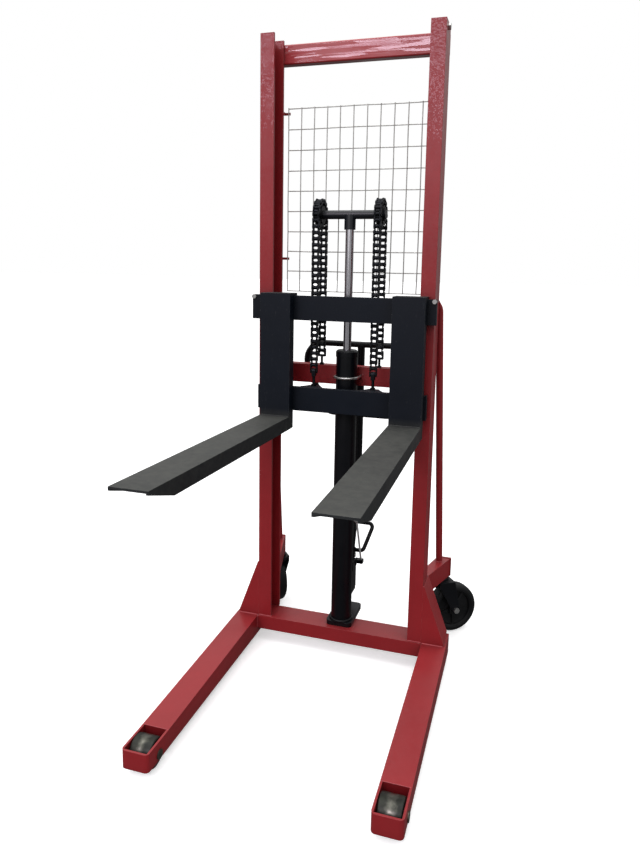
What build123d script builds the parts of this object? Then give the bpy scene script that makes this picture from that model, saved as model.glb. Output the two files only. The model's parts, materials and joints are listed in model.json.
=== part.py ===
from math import atan2, cos, degrees, pi, radians, sin, sqrt
import os

from build123d import *

os.makedirs("parts", exist_ok=True)

# Hand stacker, millimetres. Depths are given from the mast's front face, and every piece is then moved
# by ORIGIN_Y, so that the origin lies on the floor under the middle of the truck's outline.
# +X is to the right seen from the fork tips, the forks point to -Y and +Z is up.
# It is drawn in the half raised state, with the fork tops at FORK_TOP.
ORIGIN_Y = -241.0

# Fits
RUN_FIT = 0.1
HOLE_ROOM = 0.2
SLIDE_ROOM = 0.5

# Mast channels
MAST_TOP = 2000.0
MAST_HALF = 284.0
CHANNEL_DEPTH = 91.0
CHANNEL_FLANGE = 45.0
WEB_T = 5.5
FLANGE_T = 8.0
ROOT_R = 4.0
MAST_INNER = MAST_HALF - CHANNEL_FLANGE

# Base beam and legs. A leg is level beside the mast and falls from there to its tip
BASE_TOP = 91.0
BASE_HEIGHT = 47.0
BASE_FRONT = -6.0
BASE_REAR = CHANNEL_DEPTH - FLANGE_T
BASE_WALL = 6.0
BASE_BOTTOM = BASE_TOP - BASE_HEIGHT
LEG_GAP = 2.5
LEG_INNER = MAST_HALF + LEG_GAP
LEG_WIDTH = 78.0
LEG_FALL = 14.5
LEG_WALL = 5.0
LEG_REAR = CHANNEL_DEPTH
LEG_OUTER = LEG_INNER + LEG_WIDTH
TIP_TOP = 74.5
TIP_HEIGHT = 51.0
TIP_FRONT = -724.0
TIP_LENGTH = 106.0
TIP_CORNER_R = 12.0
TIP_WALL = 6.0
LEG_FRONT = TIP_FRONT + TIP_LENGTH
LEG_TOP = TIP_TOP + LEG_FALL
LEG_BOTTOM = TIP_TOP - TIP_HEIGHT

# Front rollers
ROLLER_R = 39.5
ROLLER_WIDTH = 60.0
ROLLER_EDGE = 4.0
ROLLER_SETBACK = 57.0
AXLE_R = 10.0
AXLE_HEAD_R = 13.0
AXLE_HEAD_T = 3.0
ROLLER_Y = TIP_FRONT + ROLLER_SETBACK

# Gussets between mast and legs, flush with the mast's front and rear
GUSSET_TOP = 285.0
GUSSET_TOP_WIDTH = 4.0
GUSSET_FOOT_RISE = 9.0
GUSSET_FOOT_INSET = 8.0
GUSSET_T = 6.0

# Kingpins of the casters
KING_OUT = 25.0
KING_BEHIND = 174.0
KING_X = MAST_HALF + KING_OUT
KING_Y = CHANNEL_DEPTH + KING_BEHIND
KING_R = 8.0
RACE_R = 28.0
RACE_T = 7.0
KING_NUT_R = 12.0
KING_NUT_T = 7.0

# Rear caster brackets, each a box that runs outward from the mast to its kingpin
BRACKET_BOTTOM = 206.0
BRACKET_HEIGHT = 65.0
BRACKET_WALL = 5.0
BRACKET_ROOT_IN = 2.0
BRACKET_ROOT_OUT = 8.0
BRACKET_TAIL_IN = 18.0
BRACKET_TAIL_OUT = 28.0
BRACKET_TAIL = 15.0
BRACKET_REAR = KING_Y + BRACKET_TAIL
BRACKET_FRONT_IN = MAST_INNER + BRACKET_ROOT_IN
BRACKET_FRONT_OUT = MAST_HALF - BRACKET_ROOT_OUT
BRACKET_REAR_IN = KING_X - BRACKET_TAIL_IN
BRACKET_REAR_OUT = KING_X + BRACKET_TAIL_OUT
END_PLATE_T = 8.0
END_PLATE_LIP = 4.0
END_PLATE_RISE = 2.0
BRACKET_TOP = BRACKET_BOTTOM + BRACKET_HEIGHT

# Rear stays
STAY_R = 11.5
STAY_WALL = 2.5
STAY_BEND_R = 35.0
STAY_KNEE_Z = 1170.0
STAY_HEAD_RISE = 30.0
STAY_FOOT_IN = 7.0
STAY_FOOT_AHEAD = 14.0
STAY_KNEE_OUT = 1.0
STAY_KNEE_BEHIND = 16.0
STAY_HEAD_IN = 14.0
STAY_HEAD_AHEAD = 5.0
STAY_FOOT = (KING_X - STAY_FOOT_IN, KING_Y - STAY_FOOT_AHEAD, BRACKET_TOP)
STAY_KNEE = (MAST_HALF + STAY_KNEE_OUT, CHANNEL_DEPTH + STAY_KNEE_BEHIND, STAY_KNEE_Z)
STAY_HEAD = (MAST_HALF - STAY_HEAD_IN, CHANNEL_DEPTH - STAY_HEAD_AHEAD, STAY_KNEE_Z + STAY_HEAD_RISE)
STAY_RUN_ON = 40.0

# Casters
CASTER_TRAIL = 48.0
CASTER_WHEEL_R = 88.0
CASTER_WHEEL_WIDTH = 48.0
CASTER_HUB_WIDTH = 60.0
CASTER_HUB_R = 21.0
CASTER_RIM_R = 64.0
CASTER_WEB_T = 18.0
CASTER_SPOKES = 5
CASTER_SPOKE_T = 9.0
CASTER_TYRE_R = 9.0
CROWN_T = 10.0
CROWN_R = 34.0
CROWN_REACH = 40.0
FORK_LEG_T = 5.0
FORK_LEG_FOOT_R = 15.0
CASTER_AXLE_R = 6.0
CASTER_BOLT_ACROSS = 19.0
CASTER_BOLT_T = 7.0
CASTER_SIDE_ROOM = 1.0
CROWN_ROOM = 10.0
LEFT_CASTER_TURN = 130.0
RIGHT_CASTER_TURN = 35.0

# Crossbars
TOP_BAR_HEIGHT = 61.0
TOP_BAR_DEPTH = 35.0
TOP_BAR_DROP = 10.0
TOP_BAR_WALL = 5.0
TOP_BAR_INSET = 4.0
TOP_BAR_HALF = MAST_HALF - TOP_BAR_INSET
MID_BEAM_TOP = 972.0
MID_BEAM_HEIGHT = 62.0
MID_BEAM_OUT = 35.0
MID_BEAM_REAR = CHANNEL_DEPTH + MID_BEAM_OUT
MID_BEAM_WALL = 3.0

# Wire guard, from just inside the left channel to behind the right one
GUARD_BEHIND = 13.0
GUARD_ROOM = 0.5
GUARD_WIRE = 4.0
GUARD_COLUMNS = 12
GUARD_ROW_STEP = 64.9
GUARD_ROWS = 10
GUARD_INSET = 12.0
GUARD_LAP = 12.5
GUARD_DROP = 202.0
GUARD_LEFT = -MAST_INNER + GUARD_INSET
GUARD_TOP = MAST_TOP - GUARD_DROP
HOOK_WIDTH = 6.0
HOOK_TIP = 3.0
HOOK_HEIGHT = 8.0
HOOK_DROPS = (218.0, 680.0)

# Lift cylinder and ram
RAM_Y = 52.0
CYLINDER_R = 34.5
CYLINDER_BORE_R = 28.5
CYLINDER_END_T = 10.0
CYLINDER_TOP = 1009.0
GLAND_R = 36.0
GLAND_HEIGHT = 22.0
GLAND_SPIGOT = 22.0
GLAND_EDGE = 5.0
ROD_R = 13.2
PISTON_HEIGHT = 60.0
PISTON_BOTTOM = 490.0
FOOT_T = 15.0
FOOT_HALF = 44.0
FOOT_FRONT = 14.0
FOOT_LENGTH = 156.0
FOOT_CORNER_R = 14.0
FOOT_TOP = BASE_TOP + FOOT_T
GLAND_TOP = CYLINDER_TOP + GLAND_HEIGHT

# Cylinder clamp
CLAMP_DROP = 30.0
CLAMP_Z = MID_BEAM_TOP - CLAMP_DROP
CLAMP_R = 4.0
CLAMP_ROOM = 0.3
CLAMP_NUT_ACROSS = 13.0
CLAMP_NUT_T = 5.0
CLAMP_TAIL = 4.0

# Roller chain and sprockets
PITCH = 19.05
CHAIN_ROLLER_R = 5.95
CHAIN_PIN_R = 2.97
CHAIN_INNER_WIDTH = 12.57
PLATE_T = 2.4
PLATE_END_ROOM = 2.05
PLATE_HEIGHT = PITCH - PLATE_END_ROOM
PLATE_ROOM = 0.25
PIN_STAND = 1.2
TEETH = 14
TIP_FACTOR = 0.6
FLARE_OVER = 1.2
SPROCKET_T = 11.8
SPROCKET_SEAT_ROOM = 0.35
SPROCKET_HUB_R = 28.0
SPROCKET_HUB_HALF = 11.0
TOOTH_TIP = 1.55
TOOTH_FLARE = PITCH - TOOTH_TIP
CHAIN_X = 98.0
PITCH_R = PITCH / (2 * sin(pi / TEETH))
TIP_R = PITCH * (TIP_FACTOR + cos(pi / TEETH) / sin(pi / TEETH)) / 2

# Crosshead
CROSS_Z = 1458.0
CROSS_R = 13.8
SOCKET_R = 17.9
SOCKET_DROP = 46.0
SOCKET_BOTTOM = CROSS_Z - SOCKET_DROP
ROD_SOCKET_DEPTH = 24.0
CLIP_T = 3.0
CLIP_R = 20.0
CROSS_END = 3.0

# Carriage. The lower bar backs the fork shanks just above the fork tops
FORK_TOP = 822.0
BAR_FRONT = -33.3
BAR_T = 17.6
BAR_HEIGHT = 77.0
BAR_REAR = BAR_FRONT + BAR_T
UPPER_BAR_TOP = 1204.5
UPPER_BAR_OVER = 10.0
UPPER_BAR_HALF = MAST_HALF + UPPER_BAR_OVER
LOWER_BAR_RISE = 91.0
LOWER_BAR_TOP = FORK_TOP + LOWER_BAR_RISE
LOWER_BAR_INSET = 9.0
LOWER_BAR_HALF = MAST_HALF - LOWER_BAR_INSET
SIDE_GAP = 9.0
SIDE_T = 12.0
SIDE_INNER = MAST_INNER - SIDE_GAP - SIDE_T
SIDE_ROOM = 11.0
SIDE_REAR = CHANNEL_DEPTH - FLANGE_T - SIDE_ROOM
SIDE_TOP_DROP = 27.5
SIDE_FOOT_RISE = 17.0
SIDE_TOP = UPPER_BAR_TOP - SIDE_TOP_DROP
SIDE_BOTTOM = LOWER_BAR_TOP - BAR_HEIGHT + SIDE_FOOT_RISE
SIDE_CORNER = 30.0
LUG_T = 12.5
LUG_REAR = 26.0
LUG_ROOT_HALF = 38.0
LUG_TIP_HALF = 15.0
EAR_BOLT_INSET = 6.0
EAR_BOLT_X = UPPER_BAR_HALF - EAR_BOLT_INSET
EAR_BOLT_DROP = 6.5
EAR_BOLT_R = 4.0
EAR_BOLT_ACROSS = 13.0
EAR_HEAD_T = 5.5
EAR_NUT_T = 6.5

# Carriage guide rollers
GUIDE_WIDTH = 30.0
GUIDE_AXLE_R = 12.0
GUIDE_EDGE = 2.0
GUIDE_WEB_GAP = 4.5
GUIDE_END = 31.0
GUIDE_X = MAST_HALF - WEB_T - GUIDE_WEB_GAP - GUIDE_WIDTH / 2
GUIDE_LEVELS = (("lower", SIDE_BOTTOM + GUIDE_END), ("upper", SIDE_TOP - GUIDE_END))
GUIDE_Y = CHANNEL_DEPTH / 2
GUIDE_R = CHANNEL_DEPTH / 2 - FLANGE_T - SLIDE_ROOM

# Forks, each set in from the end of the upper bar and spread outward from heel to tip
FORK_HALF = 49.6
LEFT_FORK_INSET = 91.0
RIGHT_FORK_INSET = 77.0
LEFT_FORK_SPREAD = 28.0
RIGHT_FORK_SPREAD = 12.5
FORK_TIP = -863.0
FORK_HEIGHT = 42.0
FORK_T = 6.0
FORK_NOSE_HEIGHT = 9.5
FORK_NOSE_LENGTH = 104.0
SHANK_REACH = 38.3
SHANK_FRONT = BAR_FRONT - SHANK_REACH
SHANK_T = 10.0
SHANK_SIDE_T = 8.0
HOOK_T = 7.0
HOOK_LIP_T = 11.5
HOOK_LIP_DROP = 20.0

# Chain anchors
ANCHOR_R = 4.75
ANCHOR_NUT_ACROSS = 15.0
ANCHOR_NUT_T = 6.5
TONGUE_T = 12.0
TONGUE_DEPTH = 16.0
TONGUE_DROP = 18.0
TONGUE_RISE = 8.0
BEAM_ANCHOR_R = 4.0
BEAM_NUT_ACROSS = 13.0
CLEVIS_GAP = 18.0
CLEVIS_CHEEK = 3.5
CLEVIS_DROP = 14.0
CLEVIS_BASE = 6.0
ANCHOR_TAIL = 3.0
ANCHOR_THREAD = 14.0

# Chain lengths: as many whole links as leave room for the anchors, the last an inner link for its clevis
FRONT_DROP = CROSS_Z - LOWER_BAR_TOP - ANCHOR_NUT_T - ANCHOR_THREAD - TONGUE_DROP
BACK_DROP = CROSS_Z - MID_BEAM_TOP - ANCHOR_NUT_T - ANCHOR_THREAD - CLEVIS_BASE - CLEVIS_DROP
WRAP_PITCHES = TEETH // 2
FRONT_PITCHES = int(FRONT_DROP / PITCH)
MOST_BACK_PITCHES = int(BACK_DROP / PITCH)
BACK_PITCHES = MOST_BACK_PITCHES - (FRONT_PITCHES + WRAP_PITCHES + MOST_BACK_PITCHES) % 2

# Mast stop bolts
STOP_DROP = 12.0
STOP_Z = MAST_TOP - STOP_DROP
STOP_R = 5.0
STOP_REACH = 14.0
STOP_ACROSS = 17.0
STOP_HEAD_T = 6.5

# Pump
PUMP_HALF = 22.0
PUMP_FRONT = 72.0
PUMP_REAR = 134.0
PUMP_BOTTOM = 167.0
PUMP_TOP = 247.0
PIVOT_Y = 156.0
PIVOT_Z = 262.0
PIVOT_R = 8.0
PIVOT_OVER = 2.0
LUG_PLATE_T = 8.0
LUG_PLATE_FRONT = 116.0
LUG_PLATE_R = 16.0
PLUNGER_Y = 192.0
PLUNGER_R = 8.0
PLUNGER_BOTTOM = 206.0
PLUNGER_HEAD_R = 12.0
PLUNGER_HEAD_T = 12.0
PLUNGER_TOP = 280.0
BOSS_R = 14.0
BOSS_BOTTOM = 158.0
BOSS_TOP = 226.0
BOSS_FLOOR = 5.0
BRIDGE_HALF = 12.0
BRIDGE_BOTTOM = 170.0
SADDLE_ROOM = 0.2

# Pump lever with tiller and pedal
HUB_R = 16.0
HUB_HALF = PUMP_HALF - LUG_PLATE_T - SLIDE_ROOM
NOSE_R = 11.0
NOSE_HALF = 10.0
NOSE_ROOM = 0.5
NOSE_RISE = 4.5
TILLER_R = 13.0
TILLER_Y = 244.0
TILLER_KNEE_Z = 540.0
TILLER_BEND_R = 120.0
TILLER_TOP_Z = 1028.0
LOOP_R = 10.5
LOOP_HALF = 202.0
LOOP_TOP_R = 60.0
LOOP_CORNER_R = 40.0
LOOP_ARM_HALF = 198.0
LOOP_ARM_Z = 950.0
LOOP_WAIST_HALF = 122.0
LOOP_FOOT_X = 4.0
LOOP_FOOT_Z = 780.0
PEDAL_R = 7.0
PEDAL_ROOT = (NOSE_HALF, 196.0, 292.0)
PEDAL_ELBOW = (37.0, PEDAL_ROOT[1], PEDAL_ROOT[2])
PEDAL_END = (64.0, 242.0, 380.0)
PEDAL_BEND_R = 14.0

# Release rod, leaning in from its guide lug on the pump to its knob
RELEASE_X = 36.0
RELEASE_Y = 178.0
RELEASE_R = 3.5
RELEASE_LEAN = 7.5
RELEASE_END = 5.0
RELEASE_REACH = 160.0
RELEASE_KNOB_R = 12.0
GUIDE_LUG_BOTTOM = 255.0
GUIDE_LUG_TOP = 268.0
GUIDE_LUG_OUT = 43.0
GUIDE_LUG_FRONT = 166.0
GUIDE_LUG_REAR = 186.0

SIDES = ((-1, "left"), (1, "right"))


def facing_rear(y):
    """Sketch plane across the truck at depth y, with X to the right and Z up."""
    return Plane.XZ.offset(-y)


def block(x0, x1, y0, y1, z0, z1, mode=Mode.ADD):
    """Straight block between six faces, added to or cut from the open part."""
    with Locations(((x0 + x1) / 2, (y0 + y1) / 2, (z0 + z1) / 2)):
        Box(abs(x1 - x0), abs(y1 - y0), abs(z1 - z0), mode=mode)


def rod_x(x0, x1, y, z, radius, mode=Mode.ADD):
    with Locations(((x0 + x1) / 2, y, z)):
        Cylinder(radius, abs(x1 - x0), rotation=(0, 90, 0), mode=mode)


def rod_y(x, y0, y1, z, radius, mode=Mode.ADD):
    with Locations((x, (y0 + y1) / 2, z)):
        Cylinder(radius, abs(y1 - y0), rotation=(90, 0, 0), mode=mode)


def rod_z(x, y, z0, z1, radius, mode=Mode.ADD):
    with Locations((x, y, (z0 + z1) / 2)):
        Cylinder(radius, abs(z1 - z0), mode=mode)


def hexagon(plane, u, v, across, length):
    """Six sided head or nut on a plane, grown along the plane's normal."""
    with BuildSketch(plane) as outline:
        with Locations((u, v)):
            RegularPolygon(across / 2, 6, major_radius=False)
    extrude(outline.sketch, amount=length)


def save(piece, name):
    """Move a piece into the truck's frame, name it and write its file."""
    placed = piece.moved(Location((0, -ORIGIN_Y, 0)))
    placed.label = name
    export_step(placed, "parts/" + name + ".step")


# Mast
for side, word in SIDES:
    outer = side * MAST_HALF
    inner = side * MAST_INNER
    web = side * (MAST_HALF - WEB_T)
    with BuildPart() as channel:
        with BuildSketch(Plane.XY.offset(BASE_TOP)):
            with BuildLine():
                Polyline(
                    (outer, 0),
                    (inner, 0),
                    (inner, FLANGE_T),
                    (web, FLANGE_T),
                    (web, CHANNEL_DEPTH - FLANGE_T),
                    (inner, CHANNEL_DEPTH - FLANGE_T),
                    (inner, CHANNEL_DEPTH),
                    (outer, CHANNEL_DEPTH),
                    close=True,
                )
            make_face()
        extrude(amount=MAST_TOP - BASE_TOP)
        upright_edges = channel.edges().filter_by(Axis.Z)
        fillet([e for e in upright_edges if abs(e.center().X - web) < HOLE_ROOM], radius=ROOT_R)
        rod_x(outer, web, GUIDE_Y, STOP_Z, STOP_R + HOLE_ROOM, mode=Mode.SUBTRACT)
    save(channel.part, "mast_channel_" + word)

with BuildPart() as stops:
    for side, word in SIDES:
        rod_x(side * MAST_HALF, side * (MAST_HALF - STOP_REACH), GUIDE_Y, STOP_Z, STOP_R)
        face = Plane.YZ.offset(side * MAST_HALF)
        hexagon(face, GUIDE_Y, STOP_Z, STOP_ACROSS, side * STOP_HEAD_T)
save(stops.part, "mast_stop_bolts")

with BuildPart() as top_bar:
    top_bar_top = MAST_TOP - TOP_BAR_DROP
    top_bar_low = top_bar_top - TOP_BAR_HEIGHT
    top_bar_rear = CHANNEL_DEPTH + TOP_BAR_DEPTH
    block(-TOP_BAR_HALF, TOP_BAR_HALF, CHANNEL_DEPTH, top_bar_rear, top_bar_low, top_bar_top)
    fillet(top_bar.edges().filter_by(Axis.X), radius=TOP_BAR_WALL)
    block(
        -TOP_BAR_HALF,
        TOP_BAR_HALF,
        CHANNEL_DEPTH + TOP_BAR_WALL,
        top_bar_rear - TOP_BAR_WALL,
        top_bar_low + TOP_BAR_WALL,
        top_bar_top - TOP_BAR_WALL,
        mode=Mode.SUBTRACT,
    )
save(top_bar.part, "top_crossbar")

CYLINDER_REAR = RAM_Y + CYLINDER_R
MID_FRONT = CYLINDER_REAR + 2 * CLAMP_ROOM
MID_LOW = MID_BEAM_TOP - MID_BEAM_HEIGHT
CLAMP_BOW_R = CYLINDER_R + CLAMP_ROOM + CLAMP_R
BACK_CHAIN_Y = RAM_Y + PITCH_R
FRONT_CHAIN_Y = RAM_Y - PITCH_R
with BuildPart() as mid_beam:
    block(-MAST_INNER, MAST_INNER, MID_FRONT, MID_BEAM_REAR, MID_LOW, MID_BEAM_TOP)
    block(
        -MAST_INNER,
        MAST_INNER,
        MID_FRONT + MID_BEAM_WALL,
        MID_BEAM_REAR,
        MID_LOW + MID_BEAM_WALL,
        MID_BEAM_TOP - MID_BEAM_WALL,
        mode=Mode.SUBTRACT,
    )
    for side, word in SIDES:
        rod_z(
            side * CHAIN_X,
            BACK_CHAIN_Y,
            MID_BEAM_TOP - MID_BEAM_WALL - ANCHOR_TAIL,
            MID_BEAM_TOP,
            BEAM_ANCHOR_R + HOLE_ROOM,
            mode=Mode.SUBTRACT,
        )
        rod_y(
            side * CLAMP_BOW_R,
            MID_FRONT,
            MID_FRONT + MID_BEAM_WALL,
            CLAMP_Z,
            CLAMP_R + HOLE_ROOM,
            mode=Mode.SUBTRACT,
        )
save(mid_beam.part, "middle_crossbeam")

with BuildPart() as base:
    block(-LEG_INNER, LEG_INNER, BASE_FRONT, BASE_REAR, BASE_BOTTOM, BASE_TOP)
    block(
        -LEG_INNER,
        LEG_INNER,
        BASE_FRONT + BASE_WALL,
        BASE_REAR - BASE_WALL,
        BASE_BOTTOM + BASE_WALL,
        BASE_TOP - BASE_WALL,
        mode=Mode.SUBTRACT,
    )
save(base.part, "base_crossbeam")

# Legs, roller boxes, gussets and rear brackets, one set per side
def leg_block(x, width, inset, mode):
    """Side outline of a leg, drawn in by inset, grown along X from x by width."""
    with BuildSketch(Plane.YZ.offset(x)) as outline:
        with BuildLine():
            Polyline(
                (LEG_REAR - inset, LEG_BOTTOM + inset),
                (LEG_REAR - inset, LEG_TOP - inset),
                (0, LEG_TOP - inset),
                (LEG_FRONT + inset, TIP_TOP - inset),
                (LEG_FRONT + inset, LEG_BOTTOM + inset),
                close=True,
            )
        make_face()
    extrude(outline.sketch, amount=width, mode=mode)


for side, word in SIDES:
    near = side * LEG_INNER
    far = side * LEG_OUTER
    with BuildPart() as leg:
        leg_block(near, side * LEG_WIDTH, 0, Mode.ADD)
        hollow = side * (LEG_WIDTH - 2 * LEG_WALL)
        leg_block(near + side * LEG_WALL, hollow, LEG_WALL, Mode.SUBTRACT)
    save(leg.part, "leg_" + word)

    with BuildPart() as tip_box:
        with BuildSketch(Plane.XY.offset(LEG_BOTTOM)):
            with Locations(((near + far) / 2, (TIP_FRONT + LEG_FRONT) / 2)):
                Rectangle(LEG_WIDTH, TIP_LENGTH)
        extrude(amount=TIP_HEIGHT)
        front_edges = tip_box.edges().filter_by(Axis.Z).group_by(Axis.Y)[0]
        fillet(front_edges, radius=TIP_CORNER_R)
        with BuildSketch(Plane.XY.offset(LEG_BOTTOM)):
            with Locations(((near + far) / 2, (TIP_FRONT + TIP_WALL + LEG_FRONT) / 2)):
                Rectangle(LEG_WIDTH - 2 * TIP_WALL, TIP_LENGTH - TIP_WALL)
        extrude(amount=TIP_HEIGHT, mode=Mode.SUBTRACT)
        rod_x(near, far, ROLLER_Y, ROLLER_R, AXLE_R + HOLE_ROOM, mode=Mode.SUBTRACT)
    save(tip_box.part, "roller_box_" + word)

    with BuildPart() as roller:
        middle = (near + far) / 2
        rod_x(middle - ROLLER_WIDTH / 2, middle + ROLLER_WIDTH / 2, ROLLER_Y, ROLLER_R, ROLLER_R)
        chamfer(roller.edges().filter_by(GeomType.CIRCLE), length=ROLLER_EDGE)
        rod_x(near, far, ROLLER_Y, ROLLER_R, AXLE_R + RUN_FIT, mode=Mode.SUBTRACT)
    save(roller.part, "front_roller_" + word)

    with BuildPart() as gusset:
        rise = LEG_TOP + GUSSET_FOOT_RISE
        hull = side * MAST_HALF
        shoulder = side * (MAST_HALF + GUSSET_TOP_WIDTH)
        toe = far - side * GUSSET_FOOT_INSET
        slope = (toe - shoulder) * side / (GUSSET_TOP - rise)
        inset = side * GUSSET_T * sqrt(1 + slope * slope)
        with BuildSketch(facing_rear(0)):
            with BuildLine():
                Polyline(
                    (hull, BASE_TOP),
                    (near, BASE_TOP),
                    (near, LEG_TOP),
                    (toe, LEG_TOP),
                    (toe, rise),
                    (shoulder, GUSSET_TOP),
                    (hull, GUSSET_TOP),
                    close=True,
                )
            make_face()
        extrude(amount=-CHANNEL_DEPTH)
        with BuildSketch(facing_rear(GUSSET_T)):
            with BuildLine():
                Polyline(
                    (hull, BASE_TOP),
                    (near, BASE_TOP),
                    (near, LEG_TOP),
                    (toe - inset, LEG_TOP),
                    (toe - inset, rise),
                    (hull, GUSSET_TOP - (inset - side * GUSSET_TOP_WIDTH) / (side * slope)),
                    close=True,
                )
            make_face()
        extrude(amount=-(CHANNEL_DEPTH - 2 * GUSSET_T), mode=Mode.SUBTRACT)
    save(gusset.part, "gusset_" + word)

    with BuildPart() as bracket:
        with BuildSketch(Plane.XY.offset(BRACKET_BOTTOM)):
            with BuildLine():
                Polyline(
                    (side * BRACKET_FRONT_IN, CHANNEL_DEPTH),
                    (side * BRACKET_FRONT_OUT, CHANNEL_DEPTH),
                    (side * BRACKET_REAR_OUT, BRACKET_REAR),
                    (side * BRACKET_REAR_IN, BRACKET_REAR),
                    close=True,
                )
            make_face()
        extrude(amount=BRACKET_HEIGHT)
        with BuildSketch(Plane.XY.offset(BRACKET_BOTTOM + BRACKET_WALL)):
            with BuildLine():
                Polyline(
                    (side * (BRACKET_FRONT_IN + BRACKET_WALL), CHANNEL_DEPTH),
                    (side * (BRACKET_FRONT_OUT - BRACKET_WALL), CHANNEL_DEPTH),
                    (side * (BRACKET_REAR_OUT - BRACKET_WALL), BRACKET_REAR),
                    (side * (BRACKET_REAR_IN + BRACKET_WALL), BRACKET_REAR),
                    close=True,
                )
            make_face()
        extrude(amount=BRACKET_HEIGHT - 2 * BRACKET_WALL, mode=Mode.SUBTRACT)
        block(
            side * BRACKET_REAR_IN,
            side * (BRACKET_REAR_OUT + END_PLATE_LIP),
            BRACKET_REAR,
            BRACKET_REAR + END_PLATE_T,
            BRACKET_BOTTOM,
            BRACKET_TOP + END_PLATE_RISE,
        )
        rod_z(
            side * KING_X,
            KING_Y,
            BRACKET_BOTTOM,
            BRACKET_BOTTOM + BRACKET_WALL,
            KING_R + HOLE_ROOM,
            mode=Mode.SUBTRACT,
        )
    save(bracket.part, "caster_bracket_" + word)

    foot = Vector(side * STAY_FOOT[0], STAY_FOOT[1], STAY_FOOT[2])
    knee = Vector(side * STAY_KNEE[0], STAY_KNEE[1], STAY_KNEE[2])
    head = Vector(side * STAY_HEAD[0], STAY_HEAD[1], STAY_HEAD[2])
    below = foot - (knee - foot).normalized() * STAY_RUN_ON
    beyond = head + (head - knee).normalized() * STAY_R
    with BuildPart() as stay:
        with BuildLine() as stay_path:
            FilletPolyline(below, knee, beyond, radius=STAY_BEND_R)
        start = Plane(origin=below, z_dir=knee - below)
        with BuildSketch(start):
            Circle(STAY_R)
            Circle(STAY_R - STAY_WALL, mode=Mode.SUBTRACT)
        sweep(path=stay_path.wires()[0])
        split(bisect_by=Plane.XY.offset(BRACKET_TOP), keep=Keep.TOP)
        split(bisect_by=facing_rear(CHANNEL_DEPTH), keep=Keep.BOTTOM)
    save(stay.part, "stay_tube_" + word)

with BuildPart() as front_axles:
    for side, word in SIDES:
        near = side * LEG_INNER
        far = side * LEG_OUTER
        rod_x(near, far, ROLLER_Y, ROLLER_R, AXLE_R)
        rod_x(near, near - side * AXLE_HEAD_T, ROLLER_Y, ROLLER_R, AXLE_HEAD_R)
        rod_x(far, far + side * AXLE_HEAD_T, ROLLER_Y, ROLLER_R, AXLE_HEAD_R)
save(front_axles.part, "front_axles")

# Casters, drawn with the kingpin on the Z axis and the wheel trailing along +X
AXLE_Z = CASTER_WHEEL_R
CROWN_BOTTOM = AXLE_Z + CASTER_WHEEL_R + CROWN_ROOM
CROWN_TOP = CROWN_BOTTOM + CROWN_T
LEG_FACE = CASTER_HUB_WIDTH / 2 + CASTER_SIDE_ROOM
RACE_BOTTOM = BRACKET_BOTTOM - RACE_T
with BuildPart() as kingpins:
    for side, word in SIDES:
        rod_z(side * KING_X, KING_Y, RACE_BOTTOM, BRACKET_BOTTOM, RACE_R)
        rod_z(side * KING_X, KING_Y, CROWN_BOTTOM - KING_NUT_T, BRACKET_BOTTOM + BRACKET_WALL, KING_R)
        nut_low = CROWN_BOTTOM - SLIDE_ROOM - KING_NUT_T
        rod_z(side * KING_X, KING_Y, nut_low, CROWN_BOTTOM - SLIDE_ROOM, KING_NUT_R)
save(kingpins.part, "caster_kingpins")

with BuildPart() as caster_fork:
    rod_z(0, 0, CROWN_BOTTOM, RACE_BOTTOM - SLIDE_ROOM, RACE_R)
    rod_z(0, 0, CROWN_BOTTOM, CROWN_TOP, CROWN_R)
    block(0, CROWN_REACH, -LEG_FACE, LEG_FACE, CROWN_BOTTOM, CROWN_TOP)
    for way in (-1, 1):
        with BuildSketch(facing_rear(way * LEG_FACE)):
            with BuildLine():
                Polyline(
                    (-CROWN_R / 2, CROWN_TOP),
                    (CROWN_REACH, CROWN_TOP),
                    (CASTER_TRAIL + FORK_LEG_FOOT_R, AXLE_Z),
                    (CASTER_TRAIL - FORK_LEG_FOOT_R, AXLE_Z),
                    (-CROWN_R / 2, CROWN_BOTTOM - CROWN_T),
                    close=True,
                )
            make_face()
            with Locations((CASTER_TRAIL, AXLE_Z)):
                Circle(FORK_LEG_FOOT_R)
        extrude(amount=-way * FORK_LEG_T)
    span = LEG_FACE + FORK_LEG_T
    rod_z(0, 0, CROWN_BOTTOM, RACE_BOTTOM, KING_R + RUN_FIT, mode=Mode.SUBTRACT)
    rod_y(CASTER_TRAIL, -span, span, AXLE_Z, CASTER_AXLE_R + HOLE_ROOM, mode=Mode.SUBTRACT)

with BuildPart() as caster_axle:
    rod_y(CASTER_TRAIL, -span - CASTER_BOLT_T, span + CASTER_BOLT_T, AXLE_Z, CASTER_AXLE_R)
    hexagon(facing_rear(span), CASTER_TRAIL, AXLE_Z, CASTER_BOLT_ACROSS, -CASTER_BOLT_T)
    hexagon(facing_rear(-span), CASTER_TRAIL, AXLE_Z, CASTER_BOLT_ACROSS, CASTER_BOLT_T)

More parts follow.
